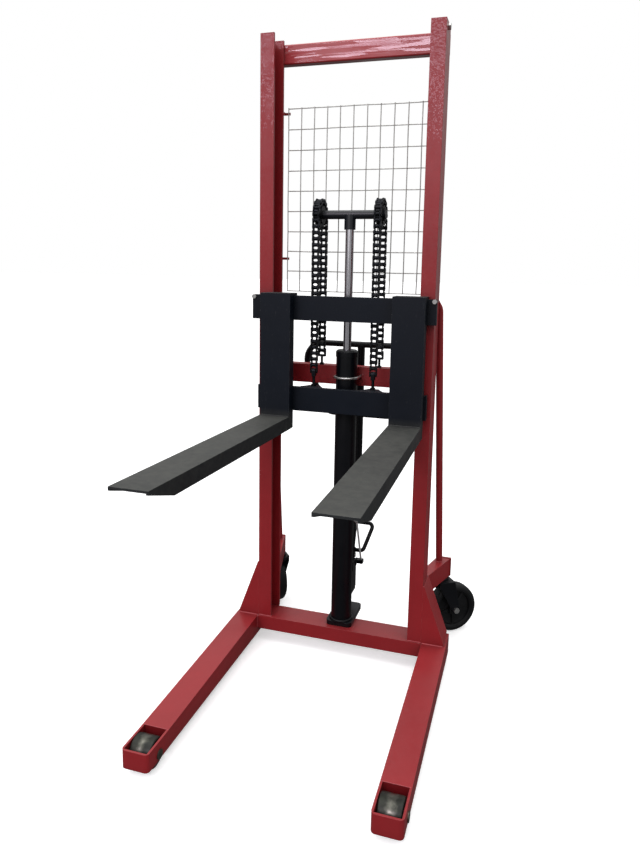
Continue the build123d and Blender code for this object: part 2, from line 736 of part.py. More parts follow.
with BuildPart() as caster_wheel:
    half = CASTER_WHEEL_WIDTH / 2
    rod_y(CASTER_TRAIL, -half, half, AXLE_Z, CASTER_WHEEL_R)
    fillet(caster_wheel.edges().filter_by(GeomType.CIRCLE), radius=CASTER_TYRE_R)
    for way in (-1, 1):
        web_face = way * CASTER_WEB_T / 2
        rod_y(CASTER_TRAIL, web_face, way * half, AXLE_Z, CASTER_RIM_R, mode=Mode.SUBTRACT)
        with BuildSketch(facing_rear(web_face)):
            with Locations((CASTER_TRAIL, AXLE_Z)):
                with PolarLocations(0, CASTER_SPOKES):
                    Rectangle(CASTER_RIM_R, CASTER_SPOKE_T, align=(Align.MIN, Align.CENTER))
        extrude(amount=-way * (half - CASTER_WEB_T / 2 - CASTER_TYRE_R))
    hub_half = CASTER_HUB_WIDTH / 2
    rod_y(CASTER_TRAIL, -hub_half, hub_half, AXLE_Z, CASTER_HUB_R)
    rod_y(CASTER_TRAIL, -hub_half, hub_half, AXLE_Z, CASTER_AXLE_R + RUN_FIT, mode=Mode.SUBTRACT)

for side, word, turn in ((-1, "left", LEFT_CASTER_TURN), (1, "right", RIGHT_CASTER_TURN)):
    seat = Location((side * KING_X, KING_Y, 0), (0, 0, turn))
    save(caster_fork.part.moved(seat), "caster_fork_" + word)
    save(caster_axle.part.moved(seat), "caster_axle_" + word)
    save(caster_wheel.part.moved(seat), "caster_wheel_" + word)

# Wire guard with its hooks, behind the mast and clear of the chains
GUARD_Y = max(CHANNEL_DEPTH + GUARD_BEHIND, BACK_CHAIN_Y + PLATE_HEIGHT / 2 + GUARD_ROOM)
GUARD_RIGHT = MAST_INNER + GUARD_LAP
GUARD_WIDTH = GUARD_RIGHT - GUARD_LEFT
GUARD_COLUMN_STEP = GUARD_WIDTH / (GUARD_COLUMNS - 1)
GUARD_HEIGHT = GUARD_ROW_STEP * (GUARD_ROWS - 1)
with BuildPart() as guard:
    with BuildSketch(facing_rear(GUARD_Y)):
        with Locations(((GUARD_LEFT + GUARD_RIGHT) / 2, GUARD_TOP - GUARD_HEIGHT / 2)):
            Rectangle(GUARD_WIDTH + GUARD_WIRE, GUARD_HEIGHT + GUARD_WIRE)
            with GridLocations(GUARD_COLUMN_STEP, GUARD_ROW_STEP, GUARD_COLUMNS - 1, GUARD_ROWS - 1):
                Rectangle(
                    GUARD_COLUMN_STEP - GUARD_WIRE,
                    GUARD_ROW_STEP - GUARD_WIRE,
                    mode=Mode.SUBTRACT,
                )
    extrude(amount=-GUARD_WIRE)
save(guard.part, "mesh_guard")

RIGHT_STEM = GUARD_RIGHT + GUARD_WIRE / 2 + HOLE_ROOM
with BuildPart() as hooks:
    tip_front = GUARD_Y + GUARD_WIRE + HOLE_ROOM
    for way, wire_x, stem in ((-1, GUARD_LEFT, -MAST_INNER), (1, GUARD_RIGHT, RIGHT_STEM)):
        for drop in HOOK_DROPS:
            low = MAST_TOP - drop - HOOK_HEIGHT / 2
            high = low + HOOK_HEIGHT
            block(stem, stem + way * HOOK_WIDTH, CHANNEL_DEPTH, tip_front + HOOK_TIP, low, high)
            tip_end = wire_x - way * GUARD_WIRE
            block(stem, tip_end, tip_front, tip_front + HOOK_TIP, low, high)
save(hooks.part, "guard_hooks")

# Lift cylinder
with BuildPart() as foot_block:
    block(-FOOT_HALF, FOOT_HALF, FOOT_FRONT, FOOT_FRONT + FOOT_LENGTH, BASE_TOP, FOOT_TOP)
    fillet(foot_block.edges().filter_by(Axis.Z), radius=FOOT_CORNER_R)
save(foot_block.part, "cylinder_foot")

with BuildPart() as tube:
    rod_z(0, RAM_Y, FOOT_TOP, CYLINDER_TOP, CYLINDER_R)
    rod_z(0, RAM_Y, FOOT_TOP + CYLINDER_END_T, CYLINDER_TOP, CYLINDER_BORE_R, mode=Mode.SUBTRACT)
save(tube.part, "cylinder_tube")

with BuildPart() as gland:
    rod_z(0, RAM_Y, CYLINDER_TOP, GLAND_TOP, GLAND_R)
    chamfer(gland.edges().group_by(Axis.Z)[-1], length=GLAND_EDGE)
    rod_z(0, RAM_Y, CYLINDER_TOP - GLAND_SPIGOT, CYLINDER_TOP, CYLINDER_BORE_R - RUN_FIT)
    rod_z(0, RAM_Y, CYLINDER_TOP - GLAND_SPIGOT, GLAND_TOP, ROD_R + RUN_FIT, mode=Mode.SUBTRACT)
save(gland.part, "cylinder_gland")

with BuildPart() as clamp:
    clamp_end = MID_FRONT + MID_BEAM_WALL + CLAMP_NUT_T + CLAMP_TAIL
    with BuildLine(Plane.XY.offset(CLAMP_Z)) as bow:
        Line((-CLAMP_BOW_R, clamp_end), (-CLAMP_BOW_R, RAM_Y))
        ThreePointArc((-CLAMP_BOW_R, RAM_Y), (0, RAM_Y - CLAMP_BOW_R), (CLAMP_BOW_R, RAM_Y))
        Line((CLAMP_BOW_R, RAM_Y), (CLAMP_BOW_R, clamp_end))
    with BuildSketch(Plane(origin=(-CLAMP_BOW_R, clamp_end, CLAMP_Z), z_dir=(0, -1, 0))):
        Circle(CLAMP_R)
    sweep(path=bow.wires()[0])
    for side, word in SIDES:
        nut_face = facing_rear(MID_FRONT + MID_BEAM_WALL)
        hexagon(nut_face, side * CLAMP_BOW_R, CLAMP_Z, CLAMP_NUT_ACROSS, -CLAMP_NUT_T)
save(clamp.part, "cylinder_clamp")

# Ram
with BuildPart() as ram_rod:
    rod_z(0, RAM_Y, PISTON_BOTTOM, PISTON_BOTTOM + PISTON_HEIGHT, CYLINDER_BORE_R - RUN_FIT)
    rod_z(0, RAM_Y, PISTON_BOTTOM, SOCKET_BOTTOM + ROD_SOCKET_DEPTH, ROD_R)
save(ram_rod.part, "ram_rod")

SPROCKET_OUT = CHAIN_X + SPROCKET_HUB_HALF + SLIDE_ROOM
with BuildPart() as crosshead:
    cross_half = SPROCKET_OUT + CLIP_T + CROSS_END
    rod_x(-cross_half, cross_half, RAM_Y, CROSS_Z, CROSS_R)
    rod_z(0, RAM_Y, SOCKET_BOTTOM, CROSS_Z, SOCKET_R)
    rod_z(0, RAM_Y, SOCKET_BOTTOM, SOCKET_BOTTOM + ROD_SOCKET_DEPTH, ROD_R, mode=Mode.SUBTRACT)
save(crosshead.part, "crosshead")

with BuildPart() as clips:
    for side, word in SIDES:
        rod_x(side * SPROCKET_OUT, side * (SPROCKET_OUT + CLIP_T), RAM_Y, CROSS_Z, CLIP_R)
    rod_x(-cross_half, cross_half, RAM_Y, CROSS_Z, CROSS_R, mode=Mode.SUBTRACT)
save(clips.part, "sprocket_clips")

# Sprockets
SEAT_R = CHAIN_ROLLER_R + SPROCKET_SEAT_ROOM
FLARE_LENGTH = TIP_R - PITCH_R + FLARE_OVER
for side, word in SIDES:
    with BuildPart() as sprocket:
        with BuildSketch(Plane.YZ.offset(side * CHAIN_X - SPROCKET_T / 2)):
            with Locations((RAM_Y, CROSS_Z)):
                Circle(TIP_R)
                with PolarLocations(PITCH_R, TEETH):
                    Circle(SEAT_R, mode=Mode.SUBTRACT)
                    Polygon(
                        (0, -SEAT_R),
                        (FLARE_LENGTH, -TOOTH_FLARE / 2),
                        (FLARE_LENGTH, TOOTH_FLARE / 2),
                        (0, SEAT_R),
                        align=None,
                        mode=Mode.SUBTRACT,
                    )
        extrude(amount=SPROCKET_T)
        hub_in = side * CHAIN_X - SPROCKET_HUB_HALF
        hub_out = side * CHAIN_X + SPROCKET_HUB_HALF
        rod_x(hub_in, hub_out, RAM_Y, CROSS_Z, SPROCKET_HUB_R)
        rod_x(hub_in, hub_out, RAM_Y, CROSS_Z, CROSS_R + RUN_FIT, mode=Mode.SUBTRACT)
    save(sprocket.part, "sprocket_" + word)

# Roller chains. A link lies along +Z from its first pin at the origin to its second
INNER_PLATE = CHAIN_INNER_WIDTH / 2
OUTER_PLATE = INNER_PLATE + PLATE_T + PLATE_ROOM
PIN_END = OUTER_PLATE + PLATE_T + PIN_STAND


def link_plates(face):
    for way in (-1, 1):
        with BuildSketch(Plane.YZ.offset(way * face)) as plate:
            with Locations((0, PITCH / 2)):
                SlotCenterToCenter(PITCH, PLATE_HEIGHT, rotation=90)
        extrude(plate.sketch, amount=way * PLATE_T)


with BuildPart() as outer_link:
    link_plates(OUTER_PLATE)
    for height in (0, PITCH):
        rod_x(-PIN_END, PIN_END, 0, height, CHAIN_PIN_R)

with BuildPart() as inner_link:
    link_plates(INNER_PLATE)
    for height in (0, PITCH):
        rod_x(-INNER_PLATE, INNER_PLATE, 0, height, CHAIN_ROLLER_R)
    for height in (0, PITCH):
        rod_x(-OUTER_PLATE, OUTER_PLATE, 0, height, CHAIN_PIN_R + RUN_FIT, mode=Mode.SUBTRACT)

pins = [(FRONT_CHAIN_Y, CROSS_Z - PITCH * step) for step in range(FRONT_PITCHES, 0, -1)]
for step in range(WRAP_PITCHES, -1, -1):
    angle = 2 * pi * step / TEETH
    pins.append((RAM_Y + PITCH_R * cos(angle), CROSS_Z + PITCH_R * sin(angle)))
pins += [(BACK_CHAIN_Y, CROSS_Z - PITCH * step) for step in range(1, BACK_PITCHES + 1)]


def chain_run(first, last):
    """Links from pin number first to pin number last, on both sides of the ram."""
    run = []
    for side, word in SIDES:
        for number in range(first, last):
            here = pins[number]
            there = pins[number + 1]
            lean = degrees(atan2(here[0] - there[0], there[1] - here[1]))
            seat = Location((side * CHAIN_X, here[0], here[1]), (lean, 0, 0))
            link = outer_link.part if number % 2 == 0 else inner_link.part
            run.append(link.solids()[0].moved(seat))
    return Compound(children=run)


WRAP_START = FRONT_PITCHES
WRAP_END = FRONT_PITCHES + WRAP_PITCHES
save(chain_run(0, WRAP_START), "chain_front")
save(chain_run(WRAP_START, WRAP_END), "chain_wrap")
save(chain_run(WRAP_END, WRAP_END + BACK_PITCHES), "chain_back")

# Chain anchors on the middle beam: clevis, pin, bolt and lock nut
BACK_PIN_Z = CROSS_Z - PITCH * BACK_PITCHES
with BuildPart() as beam_anchors:
    for side, word in SIDES:
        mid = side * CHAIN_X
        cheek_out = CLEVIS_GAP / 2 + CLEVIS_CHEEK
        front = BACK_CHAIN_Y - TONGUE_DEPTH / 2
        rear = BACK_CHAIN_Y + TONGUE_DEPTH / 2
        seat_z = BACK_PIN_Z - CLEVIS_DROP
        for way in (-1, 1):
            face_in = mid + way * CLEVIS_GAP / 2
            block(face_in, mid + way * cheek_out, front, rear, seat_z, BACK_PIN_Z)
            rod_x(face_in, mid + way * cheek_out, BACK_CHAIN_Y, BACK_PIN_Z, TONGUE_DEPTH / 2)
        block(mid - cheek_out, mid + cheek_out, front, rear, seat_z - CLEVIS_BASE, seat_z)
        rod_x(mid - cheek_out, mid + cheek_out, BACK_CHAIN_Y, BACK_PIN_Z, CHAIN_PIN_R)
        bolt_end = MID_BEAM_TOP - MID_BEAM_WALL - ANCHOR_TAIL
        rod_z(mid, BACK_CHAIN_Y, bolt_end, seat_z - CLEVIS_BASE, BEAM_ANCHOR_R)
        nut_seat = Plane.XY.offset(MID_BEAM_TOP)
        hexagon(nut_seat, mid, BACK_CHAIN_Y, BEAM_NUT_ACROSS, ANCHOR_NUT_T)
save(beam_anchors.part, "beam_chain_anchors")

# Carriage
UPPER_BAR_LOW = UPPER_BAR_TOP - BAR_HEIGHT
LOWER_BAR_LOW = LOWER_BAR_TOP - BAR_HEIGHT
EAR_BOLT_Z = UPPER_BAR_TOP - EAR_BOLT_DROP
with BuildPart() as upper_bar:
    block(-UPPER_BAR_HALF, UPPER_BAR_HALF, BAR_FRONT, BAR_REAR, UPPER_BAR_LOW, UPPER_BAR_TOP)
    for side, word in SIDES:
        x = side * EAR_BOLT_X
        rod_y(x, BAR_FRONT, BAR_REAR, EAR_BOLT_Z, EAR_BOLT_R + HOLE_ROOM, mode=Mode.SUBTRACT)
save(upper_bar.part, "carriage_upper_bar")

with BuildPart() as ear_bolts:
    for side, word in SIDES:
        x = side * EAR_BOLT_X
        rod_y(x, BAR_FRONT, BAR_REAR + EAR_NUT_T, EAR_BOLT_Z, EAR_BOLT_R)
        hexagon(facing_rear(BAR_FRONT), x, EAR_BOLT_Z, EAR_BOLT_ACROSS, EAR_HEAD_T)
        hexagon(facing_rear(BAR_REAR), x, EAR_BOLT_Z, EAR_BOLT_ACROSS, -EAR_NUT_T)
save(ear_bolts.part, "ear_bolts")

with BuildPart() as lower_bar:
    block(-LOWER_BAR_HALF, LOWER_BAR_HALF, BAR_FRONT, BAR_REAR, LOWER_BAR_LOW, LOWER_BAR_TOP)
    with BuildSketch(Plane.XY.offset(LOWER_BAR_TOP - LUG_T)):
        for side, word in SIDES:
            mid = side * CHAIN_X
            with BuildLine():
                Polyline(
                    (mid - LUG_ROOT_HALF, BAR_REAR),
                    (mid + LUG_ROOT_HALF, BAR_REAR),
                    (mid + LUG_TIP_HALF, LUG_REAR),
                    (mid - LUG_TIP_HALF, LUG_REAR),
                    close=True,
                )
            make_face()
    extrude(amount=LUG_T)
    for side, word in SIDES:
        rod_z(
            side * CHAIN_X,
            FRONT_CHAIN_Y,
            LOWER_BAR_TOP - LUG_T,
            LOWER_BAR_TOP,
            ANCHOR_R + HOLE_ROOM,
            mode=Mode.SUBTRACT,
        )
save(lower_bar.part, "carriage_lower_bar")

FRONT_PIN_Z = CROSS_Z - PITCH * FRONT_PITCHES
with BuildPart() as carriage_anchors:
    for side, word in SIDES:
        mid = side * CHAIN_X
        left = mid - TONGUE_T / 2
        right = mid + TONGUE_T / 2
        front = FRONT_CHAIN_Y - TONGUE_DEPTH / 2
        rear = FRONT_CHAIN_Y + TONGUE_DEPTH / 2
        block(left, right, front, rear, FRONT_PIN_Z - TONGUE_DROP, FRONT_PIN_Z)
        rod_x(left, right, FRONT_CHAIN_Y, FRONT_PIN_Z, TONGUE_RISE)
        lug_low = LOWER_BAR_TOP - LUG_T
        tail = lug_low - ANCHOR_NUT_T - ANCHOR_TAIL
        rod_z(mid, FRONT_CHAIN_Y, tail, FRONT_PIN_Z - TONGUE_DROP, ANCHOR_R)
        above = Plane.XY.offset(LOWER_BAR_TOP)
        hexagon(above, mid, FRONT_CHAIN_Y, ANCHOR_NUT_ACROSS, ANCHOR_NUT_T)
        hexagon(Plane.XY.offset(lug_low), mid, FRONT_CHAIN_Y, ANCHOR_NUT_ACROSS, -ANCHOR_NUT_T)
        bore = CHAIN_PIN_R + RUN_FIT
        rod_x(left, right, FRONT_CHAIN_Y, FRONT_PIN_Z, bore, mode=Mode.SUBTRACT)
save(carriage_anchors.part, "carriage_chain_anchors")

for side, word in SIDES:
    plate_in = side * SIDE_INNER
    plate_out = side * (SIDE_INNER + SIDE_T)
    axle_end = side * (GUIDE_X + GUIDE_WIDTH / 2 + RUN_FIT)
    with BuildPart() as side_plate:
        with BuildSketch(Plane.YZ.offset(plate_in)):
            with BuildLine():
                Polyline(
                    (BAR_REAR, SIDE_BOTTOM),
                    (SIDE_REAR - SIDE_CORNER, SIDE_BOTTOM),
                    (SIDE_REAR, SIDE_BOTTOM + SIDE_CORNER),
                    (SIDE_REAR, SIDE_TOP - SIDE_CORNER),
                    (SIDE_REAR - SIDE_CORNER, SIDE_TOP),
                    (BAR_REAR, SIDE_TOP),
                    close=True,
                )
            make_face()
        extrude(amount=side * SIDE_T)
        for level, height in GUIDE_LEVELS:
            rod_x(plate_out, axle_end, GUIDE_Y, height, GUIDE_AXLE_R)
    save(side_plate.part, "carriage_side_" + word)

    for level, height in GUIDE_LEVELS:
        with BuildPart() as guide:
            roller_in = side * (GUIDE_X - GUIDE_WIDTH / 2)
            roller_out = side * (GUIDE_X + GUIDE_WIDTH / 2)
            rod_x(roller_in, roller_out, GUIDE_Y, height, GUIDE_R)
            chamfer(guide.edges().filter_by(GeomType.CIRCLE), length=GUIDE_EDGE)
            bore = GUIDE_AXLE_R + RUN_FIT
            rod_x(roller_in, roller_out, GUIDE_Y, height, bore, mode=Mode.SUBTRACT)
        save(guide.part, "guide_roller_" + level + "_" + word)

# Forks, each hung by a hook on the upper bar
FORK_LOW = FORK_TOP - FORK_HEIGHT
HEEL_REAR = BAR_FRONT - SLIDE_ROOM
HOOK_LOW = UPPER_BAR_TOP + SLIDE_ROOM
HOOK_TOP = HOOK_LOW + HOOK_T
LIP_FRONT = BAR_REAR + SLIDE_ROOM
LIP_REAR = LIP_FRONT + HOOK_LIP_T
LEFT_FORK_X = LEFT_FORK_INSET - UPPER_BAR_HALF
RIGHT_FORK_X = UPPER_BAR_HALF - RIGHT_FORK_INSET
FORKS = (
    ("left", LEFT_FORK_X, -LEFT_FORK_SPREAD),
    ("right", RIGHT_FORK_X, RIGHT_FORK_SPREAD),
)


def blade(heel_x, spread, half, rear, height, mode):
    """Leaning blade from depth rear to the fork's tip, half wide each way, grown up from FORK_LOW."""
    lean = spread / (SHANK_FRONT - FORK_TIP)
    rear_x = heel_x + lean * (SHANK_FRONT - rear)
    tip_x = heel_x + spread
    with BuildSketch(Plane.XY.offset(FORK_LOW)) as outline:
        with BuildLine():
            Polyline(
                (rear_x - half, rear),
                (rear_x + half, rear),
                (tip_x + half, FORK_TIP),
                (tip_x - half, FORK_TIP),
                close=True,
            )
        make_face()
    extrude(outline.sketch, amount=height, mode=mode)


for word, heel_x, spread in FORKS:
    left = heel_x - FORK_HALF
    right = heel_x + FORK_HALF
    with BuildPart() as fork:
        with BuildSketch(Plane.YZ.offset(left)):
            with BuildLine():
                Polyline(
                    (HEEL_REAR, FORK_LOW),
                    (SHANK_FRONT, FORK_LOW),
                    (SHANK_FRONT, HOOK_TOP),
                    (LIP_REAR, HOOK_TOP),
                    (LIP_REAR, UPPER_BAR_TOP - HOOK_LIP_DROP),
                    (LIP_FRONT, UPPER_BAR_TOP - HOOK_LIP_DROP),
                    (LIP_FRONT, HOOK_LOW),
                    (HEEL_REAR, HOOK_LOW),
                    close=True,
                )
            make_face()
        extrude(amount=right - left)
        blade(heel_x, spread, FORK_HALF, SHANK_FRONT, FORK_HEIGHT, Mode.ADD)
        blade(heel_x, spread, FORK_HALF - FORK_T, HEEL_REAR, FORK_HEIGHT - FORK_T, Mode.SUBTRACT)
        with BuildSketch(Plane.YZ.offset(left - abs(spread))):
            with BuildLine():
                Polyline(
                    (FORK_TIP + FORK_NOSE_LENGTH, FORK_LOW),
                    (FORK_TIP, FORK_TOP - FORK_NOSE_HEIGHT),
                    (FORK_TIP, FORK_LOW),
                    close=True,
                )
            make_face()
        extrude(amount=right - left + 2 * abs(spread), mode=Mode.SUBTRACT)
        block(
            left + SHANK_SIDE_T,
            right - SHANK_SIDE_T,
            SHANK_FRONT + SHANK_T,
            HEEL_REAR,
            FORK_TOP,
            HOOK_LOW,
            mode=Mode.SUBTRACT,
        )
    save(fork.part, "fork_" + word)

# Pump
LUG_OUT = PUMP_HALF
LUG_IN = PUMP_HALF - LUG_PLATE_T
RELEASE_WAY = Vector(-sin(radians(RELEASE_LEAN)), 0, cos(radians(RELEASE_LEAN)))
RELEASE_AXIS = Plane(origin=(RELEASE_X, RELEASE_Y, GUIDE_LUG_BOTTOM), z_dir=RELEASE_WAY)
with BuildPart() as pump:
    block(-PUMP_HALF, PUMP_HALF, PUMP_FRONT, PUMP_REAR, PUMP_BOTTOM, PUMP_TOP)
    for way in (-1, 1):
        block(way * LUG_IN, way * LUG_OUT, LUG_PLATE_FRONT, PIVOT_Y, PUMP_BOTTOM, PIVOT_Z + LUG_PLATE_R)
        rod_x(way * LUG_IN, way * LUG_OUT, PIVOT_Y, PIVOT_Z, LUG_PLATE_R)
    block(-BRIDGE_HALF, BRIDGE_HALF, PUMP_REAR, PLUNGER_Y, BRIDGE_BOTTOM, BOSS_TOP)
    rod_z(0, PLUNGER_Y, BOSS_BOTTOM, BOSS_TOP, BOSS_R)
    block(LUG_IN, GUIDE_LUG_OUT, GUIDE_LUG_FRONT, GUIDE_LUG_REAR, GUIDE_LUG_BOTTOM, GUIDE_LUG_TOP)
    rod_z(0, PLUNGER_Y, BOSS_BOTTOM + BOSS_FLOOR, BOSS_TOP, PLUNGER_R + RUN_FIT, mode=Mode.SUBTRACT)
    rod_z(0, RAM_Y, PUMP_BOTTOM, PUMP_TOP, CYLINDER_R + SADDLE_ROOM, mode=Mode.SUBTRACT)
    rod_x(-LUG_OUT, LUG_OUT, PIVOT_Y, PIVOT_Z, PIVOT_R + HOLE_ROOM, mode=Mode.SUBTRACT)
    with BuildSketch(RELEASE_AXIS):
        Circle(RELEASE_R + RUN_FIT)
    extrude(amount=RELEASE_REACH, both=True, mode=Mode.SUBTRACT)
save(pump.part, "pump_body")

with BuildPart() as lever_pin:
    rod_x(-LUG_OUT - PIVOT_OVER, LUG_OUT + PIVOT_OVER, PIVOT_Y, PIVOT_Z, PIVOT_R)
save(lever_pin.part, "lever_pin")

with BuildPart() as plunger:
    rod_z(0, PLUNGER_Y, PLUNGER_BOTTOM, PLUNGER_TOP, PLUNGER_R)
    rod_z(0, PLUNGER_Y, PLUNGER_TOP - PLUNGER_HEAD_T, PLUNGER_TOP, PLUNGER_HEAD_R)
save(plunger.part, "pump_plunger")

with BuildPart() as release:
    with BuildSketch(RELEASE_AXIS.offset(-RELEASE_END)):
        Circle(RELEASE_R)
    extrude(amount=RELEASE_END + RELEASE_REACH)
    with Locations(RELEASE_AXIS.origin + RELEASE_WAY * RELEASE_REACH):
        Sphere(RELEASE_KNOB_R)
save(release.part, "release_rod")

# Pump lever: hub and nose, tiller tube, loop handle and foot pedal
NOSE_Z = PLUNGER_TOP + NOSE_ROOM + NOSE_R
with BuildPart() as tiller:
    rod_x(-HUB_HALF, HUB_HALF, PIVOT_Y, PIVOT_Z, HUB_R)
    with BuildSketch(Plane.YZ.offset(-NOSE_HALF)):
        with Locations((PIVOT_Y, NOSE_Z + NOSE_RISE), (PLUNGER_Y, NOSE_Z)):
            Circle(NOSE_R)
        make_hull()
    extrude(amount=2 * NOSE_HALF)
    with BuildLine(Plane.YZ) as tiller_path:
        FilletPolyline(
            (PIVOT_Y, PIVOT_Z),
            (TILLER_Y, TILLER_KNEE_Z),
            (TILLER_Y, TILLER_TOP_Z),
            radius=TILLER_BEND_R,
        )
    tiller_foot = Plane(
        origin=(0, PIVOT_Y, PIVOT_Z),
        z_dir=(0, TILLER_Y - PIVOT_Y, TILLER_KNEE_Z - PIVOT_Z),
    )
    with BuildSketch(tiller_foot):
        Circle(TILLER_R)
    sweep(path=tiller_path.wires()[0])
    rod_x(-HUB_HALF, HUB_HALF, PIVOT_Y, PIVOT_Z, PIVOT_R + RUN_FIT, mode=Mode.SUBTRACT)
    rod_x(-HUB_HALF, HUB_HALF, TILLER_Y, TILLER_TOP_Z, LOOP_R, mode=Mode.SUBTRACT)
save(tiller.part, "tiller_shaft")

loop_points = []
for side, word in SIDES:
    arm = [
        (side * LOOP_FOOT_X, TILLER_Y, LOOP_FOOT_Z),
        (side * LOOP_WAIST_HALF, TILLER_Y, LOOP_FOOT_Z),
        (side * LOOP_ARM_HALF, TILLER_Y, LOOP_ARM_Z),
        (side * LOOP_HALF, TILLER_Y, TILLER_TOP_Z),
    ]
    loop_points += arm if side < 0 else arm[::-1]
with BuildPart() as loop:
    with BuildLine() as loop_path:
        lower_bends = (LOOP_CORNER_R, LOOP_CORNER_R)
        FilletPolyline(*loop_points, radius=[*lower_bends, LOOP_TOP_R, LOOP_TOP_R, *lower_bends])
    loop_start = Vector(*loop_points[0])
    with BuildSketch(Plane(origin=loop_start, z_dir=Vector(*loop_points[1]) - loop_start)):
        Circle(LOOP_R)
    sweep(path=loop_path.wires()[0])
    rod_z(0, TILLER_Y, TILLER_KNEE_Z, LOOP_ARM_Z, TILLER_R, mode=Mode.SUBTRACT)
save(loop.part, "tiller_loop")

pedal_points = [
    (-PEDAL_ROOT[0], PEDAL_ROOT[1], PEDAL_ROOT[2]),
    (-PEDAL_ELBOW[0], PEDAL_ELBOW[1], PEDAL_ELBOW[2]),
    (-PEDAL_END[0], PEDAL_END[1], PEDAL_END[2]),
    PEDAL_END,
    PEDAL_ELBOW,
    PEDAL_ROOT,
]
with BuildPart() as pedal:
    with BuildLine() as pedal_path:
        FilletPolyline(*pedal_points, radius=PEDAL_BEND_R)
    pedal_start = Vector(*pedal_points[0])
    with BuildSketch(Plane(origin=pedal_start, z_dir=Vector(*pedal_points[1]) - pedal_start)):
        Circle(PEDAL_R)
    sweep(path=pedal_path.wires()[0])
save(pedal.part, "pedal_loop")
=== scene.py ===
import json
import math
import random

import bmesh
import bpy
from mathutils import Matrix, Vector


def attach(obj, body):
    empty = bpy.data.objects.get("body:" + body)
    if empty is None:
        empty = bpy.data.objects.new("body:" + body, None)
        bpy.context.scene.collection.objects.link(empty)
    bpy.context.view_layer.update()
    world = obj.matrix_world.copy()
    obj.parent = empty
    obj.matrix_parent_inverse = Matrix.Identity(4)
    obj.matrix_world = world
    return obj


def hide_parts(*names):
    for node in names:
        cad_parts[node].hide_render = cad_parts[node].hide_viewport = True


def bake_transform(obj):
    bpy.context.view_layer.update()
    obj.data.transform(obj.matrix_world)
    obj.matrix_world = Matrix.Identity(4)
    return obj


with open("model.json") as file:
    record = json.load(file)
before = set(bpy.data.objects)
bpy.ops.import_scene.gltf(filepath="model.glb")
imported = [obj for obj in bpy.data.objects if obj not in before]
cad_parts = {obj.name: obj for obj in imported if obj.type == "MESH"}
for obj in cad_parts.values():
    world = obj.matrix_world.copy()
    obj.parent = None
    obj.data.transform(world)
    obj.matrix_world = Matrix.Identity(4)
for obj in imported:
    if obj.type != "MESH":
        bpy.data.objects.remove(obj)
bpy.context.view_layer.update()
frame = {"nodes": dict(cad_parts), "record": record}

MM = 0.001

# Sizes shared with the CAD part, in millimetres, depths from the mast's front face
ORIGIN_Y = -241.0
MAST_HALF = 284.0
MAST_INNER = 239.0
CHANNEL_DEPTH = 91.0
BASE_TOP = 91.0
BASE_BOTTOM = 44.0
BASE_FRONT = -6.0
LEG_INNER = 286.5
LEG_OUTER = 364.5
LEG_TOP = 89.0
TIP_TOP = 74.5
TIP_BACK = -618.0
ROLLER_X = 325.5
ROLLER_Y = -667.0
ROLLER_TREAD_R = 39.5
GUSSET_TOP = 285.0
GUSSET_TOE = 356.5
BRACKET_LOW = 206.0
BRACKET_HIGH = 271.0
BRACKET_IN = 241.0
BRACKET_OUT = 276.0
STAY_FOOT_X = 302.0
STAY_FOOT_Y = 251.0
TOP_BAR_LOW = 1929.0
MID_LOW = 910.0
MID_HIGH = 972.0
KING_X = 309.0
KING_Y = 265.0
TRAIL = 48.0
WHEEL_R = 88.0
CASTER_TURNS = (("left", -1, 130.0), ("right", 1, 35.0))
RAM_Y = 52.0
CYLINDER_R = 34.5
CYLINDER_FOOT_TOP = 106.0
CROSS_Z = 1458.0
PITCH = 19.05
TEETH = 14
CHAIN_X = 98.0
FRONT_PITCHES = 26
BACK_PITCHES = 23
WRAP_PITCHES = 7
PITCH_R = PITCH / (2 * math.sin(math.pi / TEETH))
FORK_HEELS = (("left", -203.0), ("right", 217.0))
FORK_HALF = 49.6
FORK_TOP = 822.0
BLADE_LINE = FORK_TOP + 4.0
SHANK_FRONT = -71.6
BAR_REAR = -15.7
LOWER_BAR_TOP = 913.0
LUG_WELD_IN = 62.0
LUG_WELD_OUT = 134.0


def at(x, y, z):
    """A point in metres from millimetres."""
    return Vector((x * MM, (y - ORIGIN_Y) * MM, z * MM))


def linear(r, g, b):
    """Scene colour from 8 bit screen values."""
    def one(v):
        v = v / 255
        return v / 12.92 if v <= 0.04045 else ((v + 0.055) / 1.055) ** 2.4
    return (one(r), one(g), one(b), 1.0)


def turns(count, steps):
    """Angles of count points, steps of which make a full turn."""
    return [2 * math.pi * k / steps for k in range(count)]


# Materials. Edge radii, bump depths and the reach of the shade painted into corners are in metres,
# RUB_FADE in millimetres, and grains are texture scales per metre along X, Y and Z

PAINT_EDGE = 0.0016
METAL_EDGE = 0.0008
MOULD_EDGE = 0.0012
EDGE_SAMPLES = 4
EDGE_FLAT = 0.985
EDGE_SHARP = 0.8
HOLLOW_SAMPLES = 6
HOLLOW_TIGHT = 0.35
HOLLOW_OPEN = 0.9
# Painted shade in corners and recesses: how far it reaches, how much of it shows and how dark it is
PAINTED_SHADE_REACH = 0.06
PAINTED_SHADE_SHARE = 0.6
PAINTED_SHADE_DARK = 0.25
RUB_FADE = 20.0
SCUFF_GRAIN = (260.0, 26.0, 40.0)
SCUFF_SHARE = 0.35
MARK_ROUGH = 0.55
DUST_ROUGH = 0.75
WAVE_DEPTH = 0.002
PEEL_DEPTH = 0.0006
COAT_ROUGH = 0.07
COAT_DUST_ROUGH = 0.4
FLAKE_GRAIN = (255.0, 255.0, 255.0)
FLAKE_TILT = 0.12
STREAK_GRAIN = (9.0, 150.0, 150.0)
STREAK_TILT = 0.2
DIRT_METALLIC = 0.35
DIRT_ROUGH = 0.7
LINE_DEPTH = 0.0005
MOULD_SCUFF_GRAIN = (90.0, 90.0, 14.0)
MOULD_SHINE = 0.28
PORE_DEPTH = 0.0004


